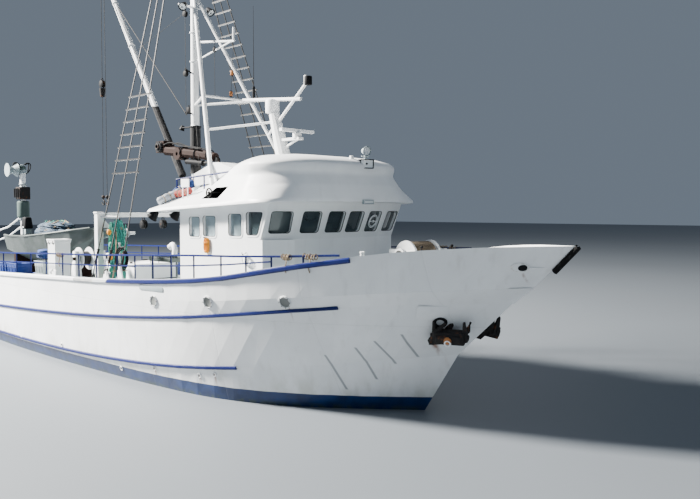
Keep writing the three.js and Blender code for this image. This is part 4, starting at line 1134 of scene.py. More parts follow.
def rolled_bundle(name, start, end, radius, finish, ties=3):
    """A rolled cover tied in places: fuller between its ties, with its ends drawn in"""
    start = Vector(start)
    end = Vector(end)
    axis = end - start
    roll = drum("roll", start, end, radius, 28)
    for k in range(1, 16):
        choose(roll)
        bpy.ops.object.mode_set(mode="EDIT")
        bpy.ops.mesh.select_all(action="SELECT")
        bpy.ops.mesh.bisect(plane_co=start + axis * (k / 16), plane_no=axis.normalized())
        bpy.ops.object.mode_set(mode="OBJECT")
    unit = axis.normalized()
    for vertex in roll.data.vertices:
        along = (vertex.co - start).dot(unit) / axis.length
        core = start + axis * along
        waist = 1 - 0.16 * abs(math.cos(along * math.pi * (ties + 1))) ** 8
        ripple = 1 + 0.06 * math.sin(vertex.co.x * 31 + vertex.co.z * 23) + 0.04 * math.sin(vertex.co.y * 47)
        vertex.co = core + (vertex.co - core) * waist * ripple * (0.86 if along < 0.02 or along > 0.98 else 1)
    painted(roll, finish)
    parts = [roll]
    for k in range(1, ties + 1):
        centre = start + axis * (k / (ties + 1))
        parts.append(painted(ring("tie", centre, axis, radius * 0.9, 0.012, 24, 6), "laid_rope"))
    return joined(name, parts)


# The roof's outline at the brim, its rings drawn in towards the crown, and the hollow in each flank
BRIM = ((1.2, 0), (1.2, 0.9), (1.22, 2.28), (1.32, 2.4), (5.7, 2.4), (5.89, 2.36), (6.05, 2.25), (6.16, 2.09),
        (6.2, 1.9), (6.3, 1.4), (6.39, 0.7), (6.42, 0))
ROOF_RINGS = (
    # share of the height, then how far the front, the ends and the sides draw in
    (0.0, 0.0, 0.0, 0.0), (0.04, 0.0, 0.0, 0.0), (0.17, 0.034, 0.02, 0.18), (0.36, 0.083, 0.06, 0.4),
    (0.555, 0.135, 0.12, 0.56), (0.69, 0.12, 0.22, 0.62), (0.78, 0.125, 0.3, 0.66), (0.86, 0.19, 0.4, 0.7),
    (0.94, 0.36, 0.54, 0.78), (0.985, 0.62, 0.72, 0.86), (1.0, 0.85, 0.9, 0.94),
)
ROOF_CENTRE = 4.3
ROOF_CROWN = 5.47
# Height of the eave at its aft edge, and its rise with the station
EAVE = 4.12
EAVE_RISE = 0.045
AFT_EDGE = 1.2
# The upright band of the eave: its part of the mesh rows and of the height
BAND_ROWS = 0.03
BAND_HEIGHT = 0.04
# The rounder plan higher up: reach and squareness forward and aft, and half its width
FORE_PLAN = (2.14, 3.7)
AFT_PLAN = (3.1, 6)
HALF_WIDTH = 2.4
RECESS = ((3.32, 1.55, 4.43), (4.14, 3.0, 4.7))


def brim_reach(turn):
    """Distance from the roof's centre to the brim in a direction"""
    way = Vector((math.cos(turn), abs(math.sin(turn))))
    centre = Vector((ROOF_CENTRE, 0))
    for first, second in zip(BRIM, BRIM[1:]):
        start = Vector(first) - centre
        side = Vector(second) - Vector(first)
        cross = way.x * side.y - way.y * side.x
        if abs(cross) < 1e-9:
            continue
        reach = (start.x * side.y - start.y * side.x) / cross
        along = (start.x * way.y - start.y * way.x) / cross
        if reach > 0 and -1e-6 <= along <= 1 + 1e-6:
            return reach
    raise RuntimeError("the brim has no point there")


def roof_point(turn, share):
    """A point of the roof: squarer at the brim, rounder at its fore corners higher up"""
    front, ends, sides = (0.0, 0.0, 0.0)
    for k in (-2, -1, 0, 1, 2):
        near = min(1.0, max(0.0, share + k * 0.02 * min(1.0, share * 5)))
        part = table_at(ROOF_RINGS, near)
        front, ends, sides = front + part[0] / 5, ends + part[1] / 5, sides + part[2] / 5
    along, power = FORE_PLAN if math.cos(turn) > 0 else AFT_PLAN
    round_reach = (abs(math.cos(turn) / along) ** power + abs(math.sin(turn) / HALF_WIDTH) ** power) ** (-1 / power)
    softness = min(1.0, max(0.0, (share - BAND_HEIGHT) / 0.3))
    reach = brim_reach(turn) * (1 - softness) + round_reach * softness
    x = ROOF_CENTRE + math.cos(turn) * reach
    y = math.sin(turn) * reach
    forward = min(1.0, max(0.0, (x - 2.0) / 3.2))
    eave = EAVE + EAVE_RISE * (x - AFT_EDGE)
    draw_x = ends + (front - ends) * forward
    draw_y = sides + (front - sides) * forward
    return Vector((x + (ROOF_CENTRE - x) * draw_x, y * (1 - draw_y), eave + (ROOF_CROWN - eave) * share))


class VESSEL_OT_domed_roof(bpy.types.Operator):
    """Fairs the wheelhouse roof into one smooth dome with its two hollows, whose inner faces are painted black as
    painted shade
    """

    bl_idname = "vessel.domed_roof"
    bl_label = "Domed roof"

    def execute(self, context):
        around, up = 144, 46
        clear_selection()
        bpy.ops.mesh.primitive_grid_add(x_subdivisions=around, y_subdivisions=up, size=2)
        roof = named("domed_roof")
        for vertex in roof.data.vertices:
            turn = (vertex.co.x + 1) * math.pi
            level = (vertex.co.y + 1) / 2
            share = 2 * BAND_HEIGHT * level
            if level >= BAND_ROWS:
                share = BAND_HEIGHT + (1 - BAND_HEIGHT) * (level - BAND_ROWS) / (1 - BAND_ROWS)
            vertex.co = roof_point(turn, min(1.0, max(0.0, share)))
        choose(roof)
        bpy.ops.object.mode_set(mode="EDIT")
        bpy.ops.mesh.select_all(action="SELECT")
        bpy.ops.mesh.remove_doubles(threshold=0.0005)
        bpy.ops.mesh.select_all(action="DESELECT")
        bpy.ops.mesh.select_mode(type="EDGE")
        bpy.ops.mesh.select_non_manifold()
        bpy.ops.mesh.fill_holes(sides=0)
        bpy.ops.mesh.select_all(action="SELECT")
        bpy.ops.mesh.normals_make_consistent(inside=False)
        bpy.ops.object.mode_set(mode="OBJECT")
        (aft, inner, low), (fore, outer, high) = RECESS
        for hand in (-1, 1):
            edges = sorted((hand * inner, hand * outer))
            cutter = block("cutter", (aft, edges[0], low), (fore, edges[1], high))
            apply_modifier(roof, "BOOLEAN", operation="DIFFERENCE", object=cutter, solver="EXACT")
            scrap(cutter)
        painted(roof, "house_paint")
        # Painted shade: the faces inside each hollow are painted black so that the hollow reads as dark
        near = 0.004
        paint_faces(roof, "black_paint", lambda c, n: aft - near < c.x < fore + near
                    and low - near < c.z < high + near and max(abs(n.x), abs(n.y), abs(n.z)) > 0.99)
        fitted(roof)
        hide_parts("wheelhouse_roof")
        return {"FINISHED"}


class VESSEL_OT_roof_gear(bpy.types.Operator):
    """Sets the lamps, rail, board, rolled covers, aerial and wheel on the wheelhouse roof"""

    bl_idname = "vessel.roof_gear"
    bl_label = "Roof gear"

    def execute(self, context):
        roof = Skin("wheelhouse_roof", "roof_casing")
        self.lamps(roof)
        self.rail(roof)
        self.bundles(roof)
        self.aerials()
        centre = Vector((3.5, -2.02, 4.565))
        reaches = [Vector((math.cos(a), 0, math.sin(a))) * 0.105 for a in (0, math.pi / 3, 2 * math.pi / 3)]
        wheel = kit(
            "recess_wheel", (ring, "black_rubber", centre, (0, 1, 0), 0.105, 0.018, 28, 8),
            (drum, "black_rubber", (3.5, -2.05, 4.565), (3.5, -1.56, 4.565), 0.022, 14),
            *((drum, "black_rubber", centre - reach, centre + reach, 0.008, 8) for reach in reaches))
        fitted(wheel)
        return {"FINISHED"}

    def lamps(self, roof):
        base, _ = roof.below(6.02, 0.42)
        head = flood_lamp("head", base + Vector((0.2, 0, -0.08)), (1, -0.5, -0.12), 0.34, 0.22)
        foot = painted(drum("foot", base - UP * 0.04, base + UP * 0.03, 0.06, 16), "black_paint")
        stem = painted(drum("stem", base - UP * 0.02, base + Vector((0.2, 0, -0.08)), 0.02, 10), "black_paint")
        fitted(joined("roof_flood_lamp", [head, foot, stem]))
        base, _ = roof.below(5.85, 0.74)
        top = base + UP * 0.2
        head = lamp_head("head", top + Vector((0.06, 0, 0)), (1, -0.2, -0.1), 0.11, 0.16, "grey_paint")
        low, side = top - UP * 0.12, Vector((0, 0.12, 0))
        yoke = painted(pipe("yoke", [low - side, base + UP * 0.05, low + side], 0.012), "grey_paint")
        stem = painted(drum("stem", base - UP * 0.03, base + UP * 0.1, 0.035, 14), "grey_paint")
        fitted(joined("roof_searchlight", [head, yoke, stem]))
        foot = base + Vector((0.05, -0.5, 0))
        lamp = rounded_drum("small_roof_lamp", foot - UP * 0.02, foot + UP * 0.07, 0.05, 18, 0.012)
        fitted(painted(lamp, "house_paint"))

    def rail(self, roof):
        """A blue rail beside the casing, with its posts, and a blank board"""
        line = [Vector((1.5, -1.62, 4.94)), Vector((2.4, -1.42, 5.02)), Vector((3.4, -1.235, 5.10))]
        parts = [painted(pipe("bar", line, 0.022), "trim_blue")]
        for point in line[:2]:
            base, _ = roof.below(point.x + 0.03, point.y)
            parts.append(painted(drum("post", base - UP * 0.02, point + Vector((0.03, 0, 0)), 0.018, 10), "trim_blue"))
        parts.append(painted(drum("end", line[2], line[2] + Vector((0.0, 0.06, 0)), 0.02, 10), "trim_blue"))
        fitted(joined("aft_roof_rail", parts))
        board = block("board", (2.0, -1.81, 4.73), (2.34, -1.79, 4.93))
        push_faces(board, lambda c, n: abs(n.y) > 0.9, inset=0.02, push=0.004)
        parts = [painted(round_edges(board, 0.006), "house_paint")]
        for x in (2.06, 2.28):
            base, _ = roof.below(x, -1.8)
            parts.append(painted(drum("leg", base - UP * 0.03, (x, -1.8, 4.76), 0.012, 8), "house_paint"))
        fitted(joined("blank_board", parts))

    def bundles(self, roof):
        for i, (x, y, length, turn, radius, finish) in enumerate((
                (1.5, -1.3, 0.7, 1.2, 0.11, "blue_canvas"), (1.55, -1.85, 0.6, 1.35, 0.10, "grey_canvas"),
                (1.85, -1.65, 0.5, 0.3, 0.085, "red_canvas"), (1.5, 0.9, 0.8, 1.4, 0.11, "grey_canvas"))):
            heights = []
            way = Vector((math.cos(turn), math.sin(turn), 0)) * length / 2
            for k in (-1, 1):
                heights.append(roof.below(x + way.x * k, y + way.y * k)[0] + UP * radius * 0.84)
            roll = rolled_bundle(f"rolled_cover_{i + 1}", heights[0], heights[1], radius, finish)
            fitted(roll)

    def aerials(self):
        cap = rounded_drum("radar_post_cap", (3.35, 0, 6.58), (3.35, 0, 6.91), 0.175, 28, 0.025, 3)
        fitted(painted(cap, "house_paint"))
        lamp = rounded_drum("arm_lamp", (4.68, 0, 7.13), (4.68, 0, 7.34), 0.095, 20, 0.02, 3)
        fitted(painted(lamp, "black_paint"))
        base = Vector((2.6, 0.0, 7.06))
        whip = kit(
            "whip_aerial", (taper, "black_paint", base + UP * 0.2, base + UP * 2.3, 0.010, 0.004, 8),
            (drum, "black_paint", base - UP * 0.03, base + UP * 0.26, 0.035, 14),
            (ring, "black_paint", base + UP * 0.22, UP, 0.036, 0.01, 14, 6))
        fitted(whip)


# Wires: name, body, points, share of the wire radius
WIRES = (
    ("topping_wire", "boom", ((-4.75, 0, 11.02), (-0.42, -0.04, 6.86)), 1.5),
    ("boom_guy", "boom", ((-0.3, -0.2, 9.62), (-3.35, -0.05, 8.98)), 0.6),
    ("whip_line", "vessel", ((-0.05, -0.3, 9.7), (-0.05, -0.3, 6.9)), 0.8),
    ("signal_halyard", "vessel", ((1.76, 0.0, 8.58), (1.86, -0.18, 7.08)), 0.7),
    ("sleeve_wire", "vessel", ((0.08, -0.06, 6.52), (1.62, -1.0, 5.0)), 0.7),
    ("flag_line", "vessel", ((0.9, 0.0, 8.68), (0.9, 0.0, 7.2)), 0.7),
)
MAST_BANDS = (5.2, 6.5, 8.3, 9.1, 10.4, 11.2)
# Below this height the mast is stouter and its bands are black
MAST_SLEEVE = 6.6
# Mast blocks: place and radius; arms: start and end; flood lamps: distance from the middle line and aim
MAST_BLOCKS = (
    ((-0.05, -0.3, 9.57), 0.08), ((-0.05, -0.3, 7.94), 0.08), ((-0.3, -0.04, 6.98), 0.09), ((-0.5, 0.0, 11.42), 0.09),
    ((0.9, 0, 8.5), 0.06),
)
MAST_ARMS = (
    ((-0.05, -0.1, 7.98), (-0.05, -0.3, 8.06)), ((-0.05, -0.1, 6.86), (-0.05, -0.3, 6.86)),
    ((-0.16, 0, 6.5), (-0.75, 0, 6.52)),
)
MAST_LAMPS = ((-0.45, (0.55, -1, -0.9)), (0.5, (1, 0.2, -0.9)))


class VESSEL_OT_mast_gear(bpy.types.Operator):
    """Rigs the mast with its wires, bands, lamps, blocks and arms"""

    bl_idname = "vessel.mast_gear"
    bl_label = "Mast gear"

    def execute(self, context):
        wire = context.scene.vessel_sizes.wire
        for name, body, points, share in WIRES:
            wire_run(name, points, wire * share, body)
        for i, z in enumerate(MAST_BANDS):
            low = z < MAST_SLEEVE
            band = ring(f"mast_band_{i + 1}", (-0.05, 0, z), UP, 0.15 if low else 0.12, 0.018, 28, 8)
            fitted(painted(band, "black_paint" if low else "mast_paint"))
        for i, (y, aim) in enumerate(MAST_LAMPS):
            lamp = lamp_head("head", (0.05, y, 9.72), aim, 0.11, 0.2)
            hook = painted(drum("hook", (-0.05, y, 9.8), (0.04, y, 9.7), 0.016, 8), "black_paint")
            fitted(joined(f"mast_flood_lamp_{i + 1}", [lamp, hook]))
        for i, (place, radius) in enumerate(MAST_BLOCKS):
            fitted(pulley(f"mast_block_{i + 1}", place, (0, 1, 0), radius))
        for i, (start, end) in enumerate(MAST_ARMS):
            arm = kit(f"mast_arm_{i + 1}", (drum, "black_paint", start, end, 0.022, 10),
                      (ring, "black_paint", end, (0, 1, 0), 0.035, 0.012, 16, 6))
            fitted(arm)
        stern = lamp_head("mast_arm_lamp", (-0.75, 0, 6.46), (-0.2, -0.3, -1), 0.08, 0.13)
        fitted(stern)
        for i, share in enumerate((0.55, 0.92)):
            place = Vector((1.76, 0, 8.58)).lerp(Vector((1.86, -0.18, 7.08)), share)
            drop = painted(drum("drop", place - UP * 0.06, place + UP * 0.06, 0.045, 16), "rust_orange")
            caps = [painted(drum("cap", place + UP * k, place + UP * (k + 0.02), 0.03, 12), "black_paint")
                    for k in (-0.08, 0.06)]
            fitted(joined(f"halyard_lamp_{i + 1}", [round_edges(drop, 0.012), *caps]))
        self.top()
        return {"FINISHED"}

    def top(self):
        lamp = lamp_head("lamp", (-0.05, 0, 12.085), (0, 0, 1), 0.07, 0.02, "black_paint")
        cap = painted(taper("cap", (-0.05, 0, 12.0), (-0.05, 0, 12.08), 0.125, 0.07, 20), "mast_paint")
        fitted(joined("mast_head_cap", [cap, lamp]))
        for i, y in enumerate((-0.6, 0.6)):
            lug = ring(f"crosstree_lug_{i + 1}", (-0.35, y, 11.52), (1, 0, 0), 0.05, 0.014, 18, 6)
            fitted(painted(lug, "rusty_iron"))


# Shroud wires: station of the foot, station of the head
SHROUDS = ((1.3, -0.1), (0.62, -0.35), (-0.08, -0.61))


class VESSEL_OT_shroud_fittings(bpy.types.Operator):
    """Gives the shrouds their turnbuckles"""

    bl_idname = "vessel.shroud_fittings"
    bl_label = "Shroud fittings"

    def execute(self, context):
        for side, hand in SIDES:
            for i, (x, head_x) in enumerate(SHROUDS):
                foot = Vector((x, hand * CHAINPLATE_Y, 2.5))
                top = Vector((head_x, hand * 0.6, 11.6))
                run = (top - foot).normalized()
                low = foot + run * 0.35
                parts = [painted(taper("body", low, low + run * 0.34, 0.03, 0.03, 14), "rusty_iron")]
                for along in (0.01, 0.33):
                    collar = ring("collar", low + run * along, run, 0.036, 0.012, 14, 6)
                    parts.append(painted(collar, "rusty_iron"))
                fitted(joined(f"{side}_turnbuckle_{i + 1}", parts))
        return {"FINISHED"}


# A hook's bill from its swivel: how far out and up
HOOK_BILL = ((0, 0.02), (0, -0.08), (0.08, -0.16), (0.02, -0.26), (-0.08, -0.18))


class VESSEL_OT_boom_gear(bpy.types.Operator):
    """Hangs the boom's bands, falls, hook block and lead wire; all of it turns with the boom"""

    bl_idname = "vessel.boom_gear"
    bl_label = "Boom gear"

    def execute(self, context):
        foot = Vector((-2.5, 0, 7.76))
        tip = Vector((-5.3, 0, 11.98))
        run = (tip - foot).normalized()
        for i, share in enumerate((0.35, 0.7, 0.9)):
            place = foot + (tip - foot) * share
            band = kit(f"boom_band_{i + 1}", (ring, "mast_paint", place, run, 0.105 - 0.03 * share, 0.018, 24, 8),
                       (ring, "rusty_iron", place - UP * 0.16, (0, 1, 0), 0.045, 0.014, 16, 6))
            fitted(band, "boom")
        self.falls(tip)
        lead = pulley("boom_lead_block", (-1.32, -0.18, 6.1), (0, 1, 0), 0.08)
        fitted(lead, "boom")
        line = (tip + Vector((0.1, -0.06, -0.16)), (-2.42, -0.15, 7.78), (-1.3, -0.18, 6.18))
        wire_run("boom_lead_wire", line, 0.008, "boom")
        return {"FINISHED"}

    def falls(self, tip):
        """Two falls from the tip: one through a hook block, one down to a loose hook"""
        upper = pulley("boom_tip_block", tip + Vector((0.0, 0, -0.24)), (0, 1, 0), 0.13)
        fitted(upper, "boom")
        aft, fore = tip + Vector((-0.1, 0, -0.24)), tip + Vector((0.1, 0, -0.24))
        joint = Vector((aft.x - 0.02, aft.y, 8.3))
        parts = [pulley("lower", joint, (0, 1, 0), 0.12),
                 painted(taper("weight", joint - UP * 0.42, joint - UP * 0.14, 0.07, 0.1, 20), "rusty_iron")]
        fitted(joined("hook_block", parts), "boom")
        wire_run("aft_fall", (aft, joint + UP * 0.12), 0.010, "boom")
        wire_run("aft_fall_tail", (joint - UP * 0.4, Vector((joint.x - 0.05, joint.y, 4.62))), 0.008, "boom")
        wire_run("fore_fall", (fore, Vector((fore.x, fore.y, 4.62))), 0.008, "boom")
        for name, x in (("aft_fall_hook", joint.x - 0.05), ("fore_fall_hook", fore.x)):
            low = Vector((x, 0, 4.6))
            bill = [low + Vector((out, 0, up)) for out, up in HOOK_BILL]
            hook = kit(name, (pipe, "rusty_iron", bill, 0.022, True), (ball, "rusty_iron", low, 0.06))
            fitted(hook, "boom")


JIB_Y = -0.46


class VESSEL_OT_crane_gear(bpy.types.Operator):
    """Fits the jib's head winch, hoses, straps, luffing cylinder and sheave"""

    bl_idname = "vessel.crane_gear"
    bl_label = "Crane gear"

    def execute(self, context):
        x, z = -0.96, 5.96
        winch = kit(
            "crane_head_winch", (slab, "black_paint", (-1.12, -0.64, 5.84), (-0.8, -0.28, 6.08), 0.02, 3),
            *((drum, "black_paint", (x, y - 0.02, z), (x, y + 0.02, z), 0.15, 24) for y in (-0.64, -0.28)),
            (ring, "rusty_iron", (x, -0.68, z), (0, 1, 0), 0.07, 0.02, 20, 8))
        fitted(winch, "jib")
        for i, y in enumerate((-0.6, -0.56, -0.36)):
            points = [(-0.75, y, 6.0), (-0.35, y - 0.03, 6.04), (0.1, y, 5.93), (0.55, y, 5.87), (1.0, y, 5.79)]
            hose = pipe(f"jib_hose_{i + 1}", points, 0.017, curved=True)
            fitted(painted(hose, "black_rubber"), "jib")
        for i, x in enumerate((0.1, 0.75, 1.3)):
            z = 5.72 - x * 0.1
            strap = ring(f"jib_strap_{i + 1}", (x, JIB_Y, z + 0.03), (1, 0, -0.2), 0.165 - x * 0.02, 0.016, 24, 6)
            fitted(painted(strap, "black_paint"), "jib")
        cylinder = kit(
            "luffing_cylinder", (drum, "black_paint", (0.2, JIB_Y, 5.5), (1.0, JIB_Y, 5.42), 0.07, 20),
            (drum, "steel_wire", (1.0, JIB_Y, 5.42), (1.38, JIB_Y, 5.45), 0.03, 14),
            (ring, "black_paint", (1.0, JIB_Y, 5.42), (1, 0, -0.1), 0.068, 0.016, 20, 6),
            (ring, "black_paint", (0.2, JIB_Y, 5.5), (0, 1, 0), 0.05, 0.025, 16, 8),
            (drum, "black_paint", (0.2, JIB_Y, 5.5), (0.05, JIB_Y, 5.62), 0.04, 12))
        fitted(cylinder, "jib")
        tip = pulley("jib_tip_sheave", (1.62, JIB_Y, 5.46), (0, 1, 0), 0.09)
        fitted(tip, "jib")
        return {"FINISHED"}


# Nets, decks and skiff


def drape(name, low, high, finish, folds=7, seed=3, rounds=5):
    """A gathered bundle: narrow at its neck, full below, with upright folds"""
    low = Vector(low)
    high = Vector(high)
    middle = (low + high) / 2
    half = (high - low) / 2
    bundle = ball(name, (0, 0, 0), 1.0, rounds=rounds)
    draw = random.Random(seed)
    phases = [draw.uniform(0, 6.28) for _ in range(6)]
    for vertex in bundle.data.vertices:
        x, y, z = vertex.co
        turn = math.atan2(y, x)
        swell = 0.62 + 0.3 * math.sin((z + 0.9) * 1.35 + 0.4) + 0.08 * math.sin(z * 9 + phases[0])
        fold = 1 + 0.10 * math.sin(turn * folds + phases[1] + 1.3 * math.sin(z * 4 + phases[2]))
        fold += 0.05 * math.sin(turn * 17 + z * 13 + phases[3]) + 0.04 * math.sin(z * 31 + turn * 5 + phases[4])
        flat = math.sqrt(max(0.0, 1 - z * z)) ** 0.45 if abs(z) < 1 else 0.0
        radius = min(0.97, swell * fold) * flat
        vertex.co = Vector((math.cos(turn) * radius * half.x, math.sin(turn) * radius * half.y, z * half.z)) + middle
    return painted(bundle, finish)


class VESSEL_OT_net(bpy.types.Operator):
    """Hangs the gathered net, its strands, lashings and floats from the gantry"""

    bl_idname = "vessel.net"
    bl_label = "Hung net"

    def execute(self, context):
        low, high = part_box("net_bundle")
        bundle = drape("hung_net", low, high, "net_twine")
        fitted(bundle)
        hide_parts("net_bundle")
        centre = (Vector(low) + Vector(high)) / 2
        draw = random.Random(11)
        strands = []
        for i in range(26):
            turn = draw.uniform(0, 6.28)
            top = high[2] - draw.uniform(0.02, 0.5)
            drop = draw.uniform(0.5, 1.3)
            points = []
            for k in range(6):
                share = k / 5
                a = turn + share * draw.uniform(0.4, 1.0)
                bulge = 0.86 + 0.14 * math.sin(share * 3.14)
                points.append((centre.x + math.cos(a) * 0.155 * bulge, centre.y + math.sin(a) * 0.242 * bulge,
                               max(low[2] + 0.02, top - drop * share)))
            strands.append(painted(pipe("strand", points, 0.013, curved=True, sides=6),
                                   "green_twine" if i % 3 else "net_twine"))
        fitted(joined("net_strands", strands))
        self.lashings(centre, high)
        self.floats()
        return {"FINISHED"}

    def lashings(self, centre, high):
        parts = []
        for z, r in ((high[2] - 0.22, 0.13), (high[2] - 0.26, 0.135), (3.05, 0.2), (2.6, 0.21)):
            turn = ring("lash", (0, 0, 0), UP, r, 0.014, 32, 6)
            turn.scale = (0.78, 1.12, 1)
            settle(turn)
            parts.append(painted(placed(turn, Matrix.Translation((centre.x, centre.y, z))), "laid_rope"))
        tail = [(centre.x + 0.1, centre.y - 0.1, high[2] - 0.3), (centre.x + 0.25, centre.y - 0.18, 3.3),
                (centre.x + 0.22, centre.y - 0.2, 2.8), (centre.x + 0.12, centre.y - 0.24, 2.35)]
        parts.append(painted(pipe("tail", tail, 0.016, curved=True), "laid_rope"))
        fitted(joined("net_lashings", parts))

    def floats(self):
        rows = []
        for i in range(5):
            x, y, z = 0.1 + 0.03 * (i % 3), -2.74 + 0.03 * (i % 2), 3.6 - i * 0.32
            rows.append((ball, "green_twine" if i % 2 else "orange_twine", (x, y, z), 0.055, (1, 1, 1.4)))
            rows.append((drum, "black_rubber", (x, y, z - 0.08), (x, y, z + 0.08), 0.016, 10))
        fitted(kit("net_floats", *rows))


GANTRY_X = -0.33
GANTRY_LEG = 2.8
ROLLER_AXIS = 3.55


class VESSEL_OT_gantry_gear(bpy.types.Operator):
    """Fits the gantry's hanger, feet, corners and blocks, the roller's lips and grooves, and a hose"""

    bl_idname = "vessel.gantry_gear"
    bl_label = "Gantry gear"

    def execute(self, context):
        hanger = kit(
            "net_hanger", (drum, "mast_paint", (GANTRY_X, -GANTRY_LEG, 4.0), (0.12, -2.48, 3.98), 0.035, 12),
            (ring, "rusty_iron", (0.1, -2.48, 3.93), (1, 0, 0), 0.04, 0.014, 16, 6))
        fitted(hanger)
        for side, hand in SIDES:
            leg = hand * GANTRY_LEG
            feet = []
            for x in (-0.47, -0.19):
                web = block("web", (x - 0.012, leg - 0.06, 2.0), (x + 0.012, leg + 0.06, 2.4))
                squeeze(web, facing_up, (1, 0.3, 1))
                feet.append(painted(round_edges(web, 0.004), "mast_paint"))
            for low, high, bevel in (((-0.5, leg - 0.1, 1.99), (-0.16, leg + 0.1, 2.04), 0.006),
                                     ((-0.43, leg - 0.1, 4.08), (-0.23, leg + 0.1, 4.12), 0.01)):
                feet.append(painted(slab("plate", low, high, bevel), "mast_paint"))
            fitted(joined(f"{side}_gantry_foot", feet))
            corner = block("corner", (-0.345, hand * 2.45 - 0.01, 3.7), (-0.315, hand * 2.72, 3.98))
            squeeze(corner, facing_down, (1, 0.1, 1), center_override=(GANTRY_X, hand * 2.72, 3.7))
            fitted(painted(round_edges(corner, 0.004), "mast_paint"))
            corner.name = f"{side}_gantry_corner"
        for i, y in enumerate((-1.5, -0.9, 1.2)):
            fitted(pulley(f"gantry_block_{i + 1}", (GANTRY_X, y, 3.78), (0, 1, 0), 0.12))
        for k, y in (("outer", -2.66), ("inner", -2.02)):
            lip = ring(f"roller_{k}_lip", (GANTRY_X, y, ROLLER_AXIS), (0, 1, 0), 0.108, 0.022, 28, 8)
            fitted(painted(lip, "grey_paint"), "roller")
        grooves = kit("roller_grooves", *(
            (ring, "laid_rope", (GANTRY_X, -2.55 + i * 0.085, ROLLER_AXIS), (0, 1, 0), 0.108, 0.009, 26, 6)
            for i in range(6)))
        fitted(grooves, "roller")
        loops = []
        for i in range(3):
            points = []
            for k in range(13):
                a = k / 12 * FULL_TURN
                across, up = math.sin(a), math.cos(a)
                points.append((0.42 + 0.05 * i + 0.03 * across, -2.6 + 0.13 * across, 2.95 + 0.27 * up - 0.02 * i))
            loops.append((pipe, "black_rubber", points, 0.016, True, 6))
        hose = kit("side_deck_hose", *loops, (drum, "rusty_iron", (0.36, -2.6, 3.2), (0.62, -2.6, 3.24), 0.018, 10),
                   (drum, "mast_paint", (0.36, -2.6, 2.0), (0.36, -2.6, 3.34), 0.024, 12))
        fitted(hose)
        return {"FINISHED"}


class VESSEL_OT_hauler_gear(bpy.types.Operator):
    """Dresses the aft hauler with its motor, hoses, post gear and stays"""

    bl_idname = "vessel.hauler_gear"
    bl_label = "Hauler gear"

    def execute(self, context):
        middle = Vector((-9.75, -0.93, 0))
        parts = []
        for low, high, radius, finish in ((5.5, 5.74, 0.135, "skiff_green"), (5.74, 5.8, 0.1, "grey_paint")):
            tub = rounded_drum("motor", middle + UP * low, middle + UP * high, radius, 28, 0.02, 3)
            parts.append(painted(tub, finish))
        parts.append(painted(ring("motor_band", middle + UP * 5.62, UP, 0.136, 0.012, 28, 6), "rusty_iron"))
        fitted(joined("hauler_motor", parts), "hauler")
        hoses = []
        for hand, reach in ((-1, 0.26), (-1, 0.2), (1, 0.28), (1, 0.22)):
            points = [middle + Vector((0, hand * across * reach, z)) for across, z in
                      ((0.3, 5.45), (0.75, 5.52), (1.1, 5.68), (1.0, 5.86), (0.4, 5.8))]
            hoses.append(painted(pipe("hose", points, 0.02, curved=True), "black_rubber"))
        fitted(joined("hauler_hoses", hoses), "hauler")
        foot = Vector((-9.75, -0.9, 0))
        gear = [painted(ring("collar", foot + UP * z, UP, 0.11, 0.025, 28, 8), "grey_paint") for z in (2.1, 3.82, 5.1)]
        gear.append(painted(rounded_drum("tub", foot + UP * 3.88, foot + UP * 4.5, 0.21, 32, 0.07, 5), "skiff_green"))
        case = block("case", foot + Vector((-0.2, -0.19, 4.55)), foot + Vector((0.2, 0.19, 5.0)))
        push_faces(case, lambda c, n: abs(n.y) > 0.9, inset=0.06, push=0.05)
        gear.append(painted(round_edges(case, 0.04, 4), "rusty_iron"))
        for x in (-0.14, 0.0, 0.14):
            valve = drum("valve", foot + Vector((x, -0.24, 4.62)), foot + Vector((x, -0.24, 4.94)), 0.035, 14)
            gear.append(painted(valve, "black_paint"))
        fitted(joined("hauler_post_gear", gear))
        stays = kit("hauler_stays", *(
            (pipe, "mast_paint", [(-11.3, -1.5, z - 0.25), (-10.4, -1.2, z), (-9.9, -0.95, z + 0.35)], 0.03)
            for z in (3.2, 3.55)))
        fitted(stays)
        return {"FINISHED"}


# Fish bins: station, distance from the middle line, level in the stack
BIN_SPOTS = (
    (-7.3, -2.42, 0), (-7.3, -2.42, 1), (-6.35, -2.45, 0), (-6.35, -2.45, 1), (-5.4, -2.5, 0),
    (-5.2, 2.35, 0), (-5.2, 2.35, 1), (-6.2, 2.3, 0), (-7.2, 2.2, 0),
)
# The winch is modelled by the gantry and then shifted beside the hatch
WINCH_SHIFT = (-1.41, -0.65)


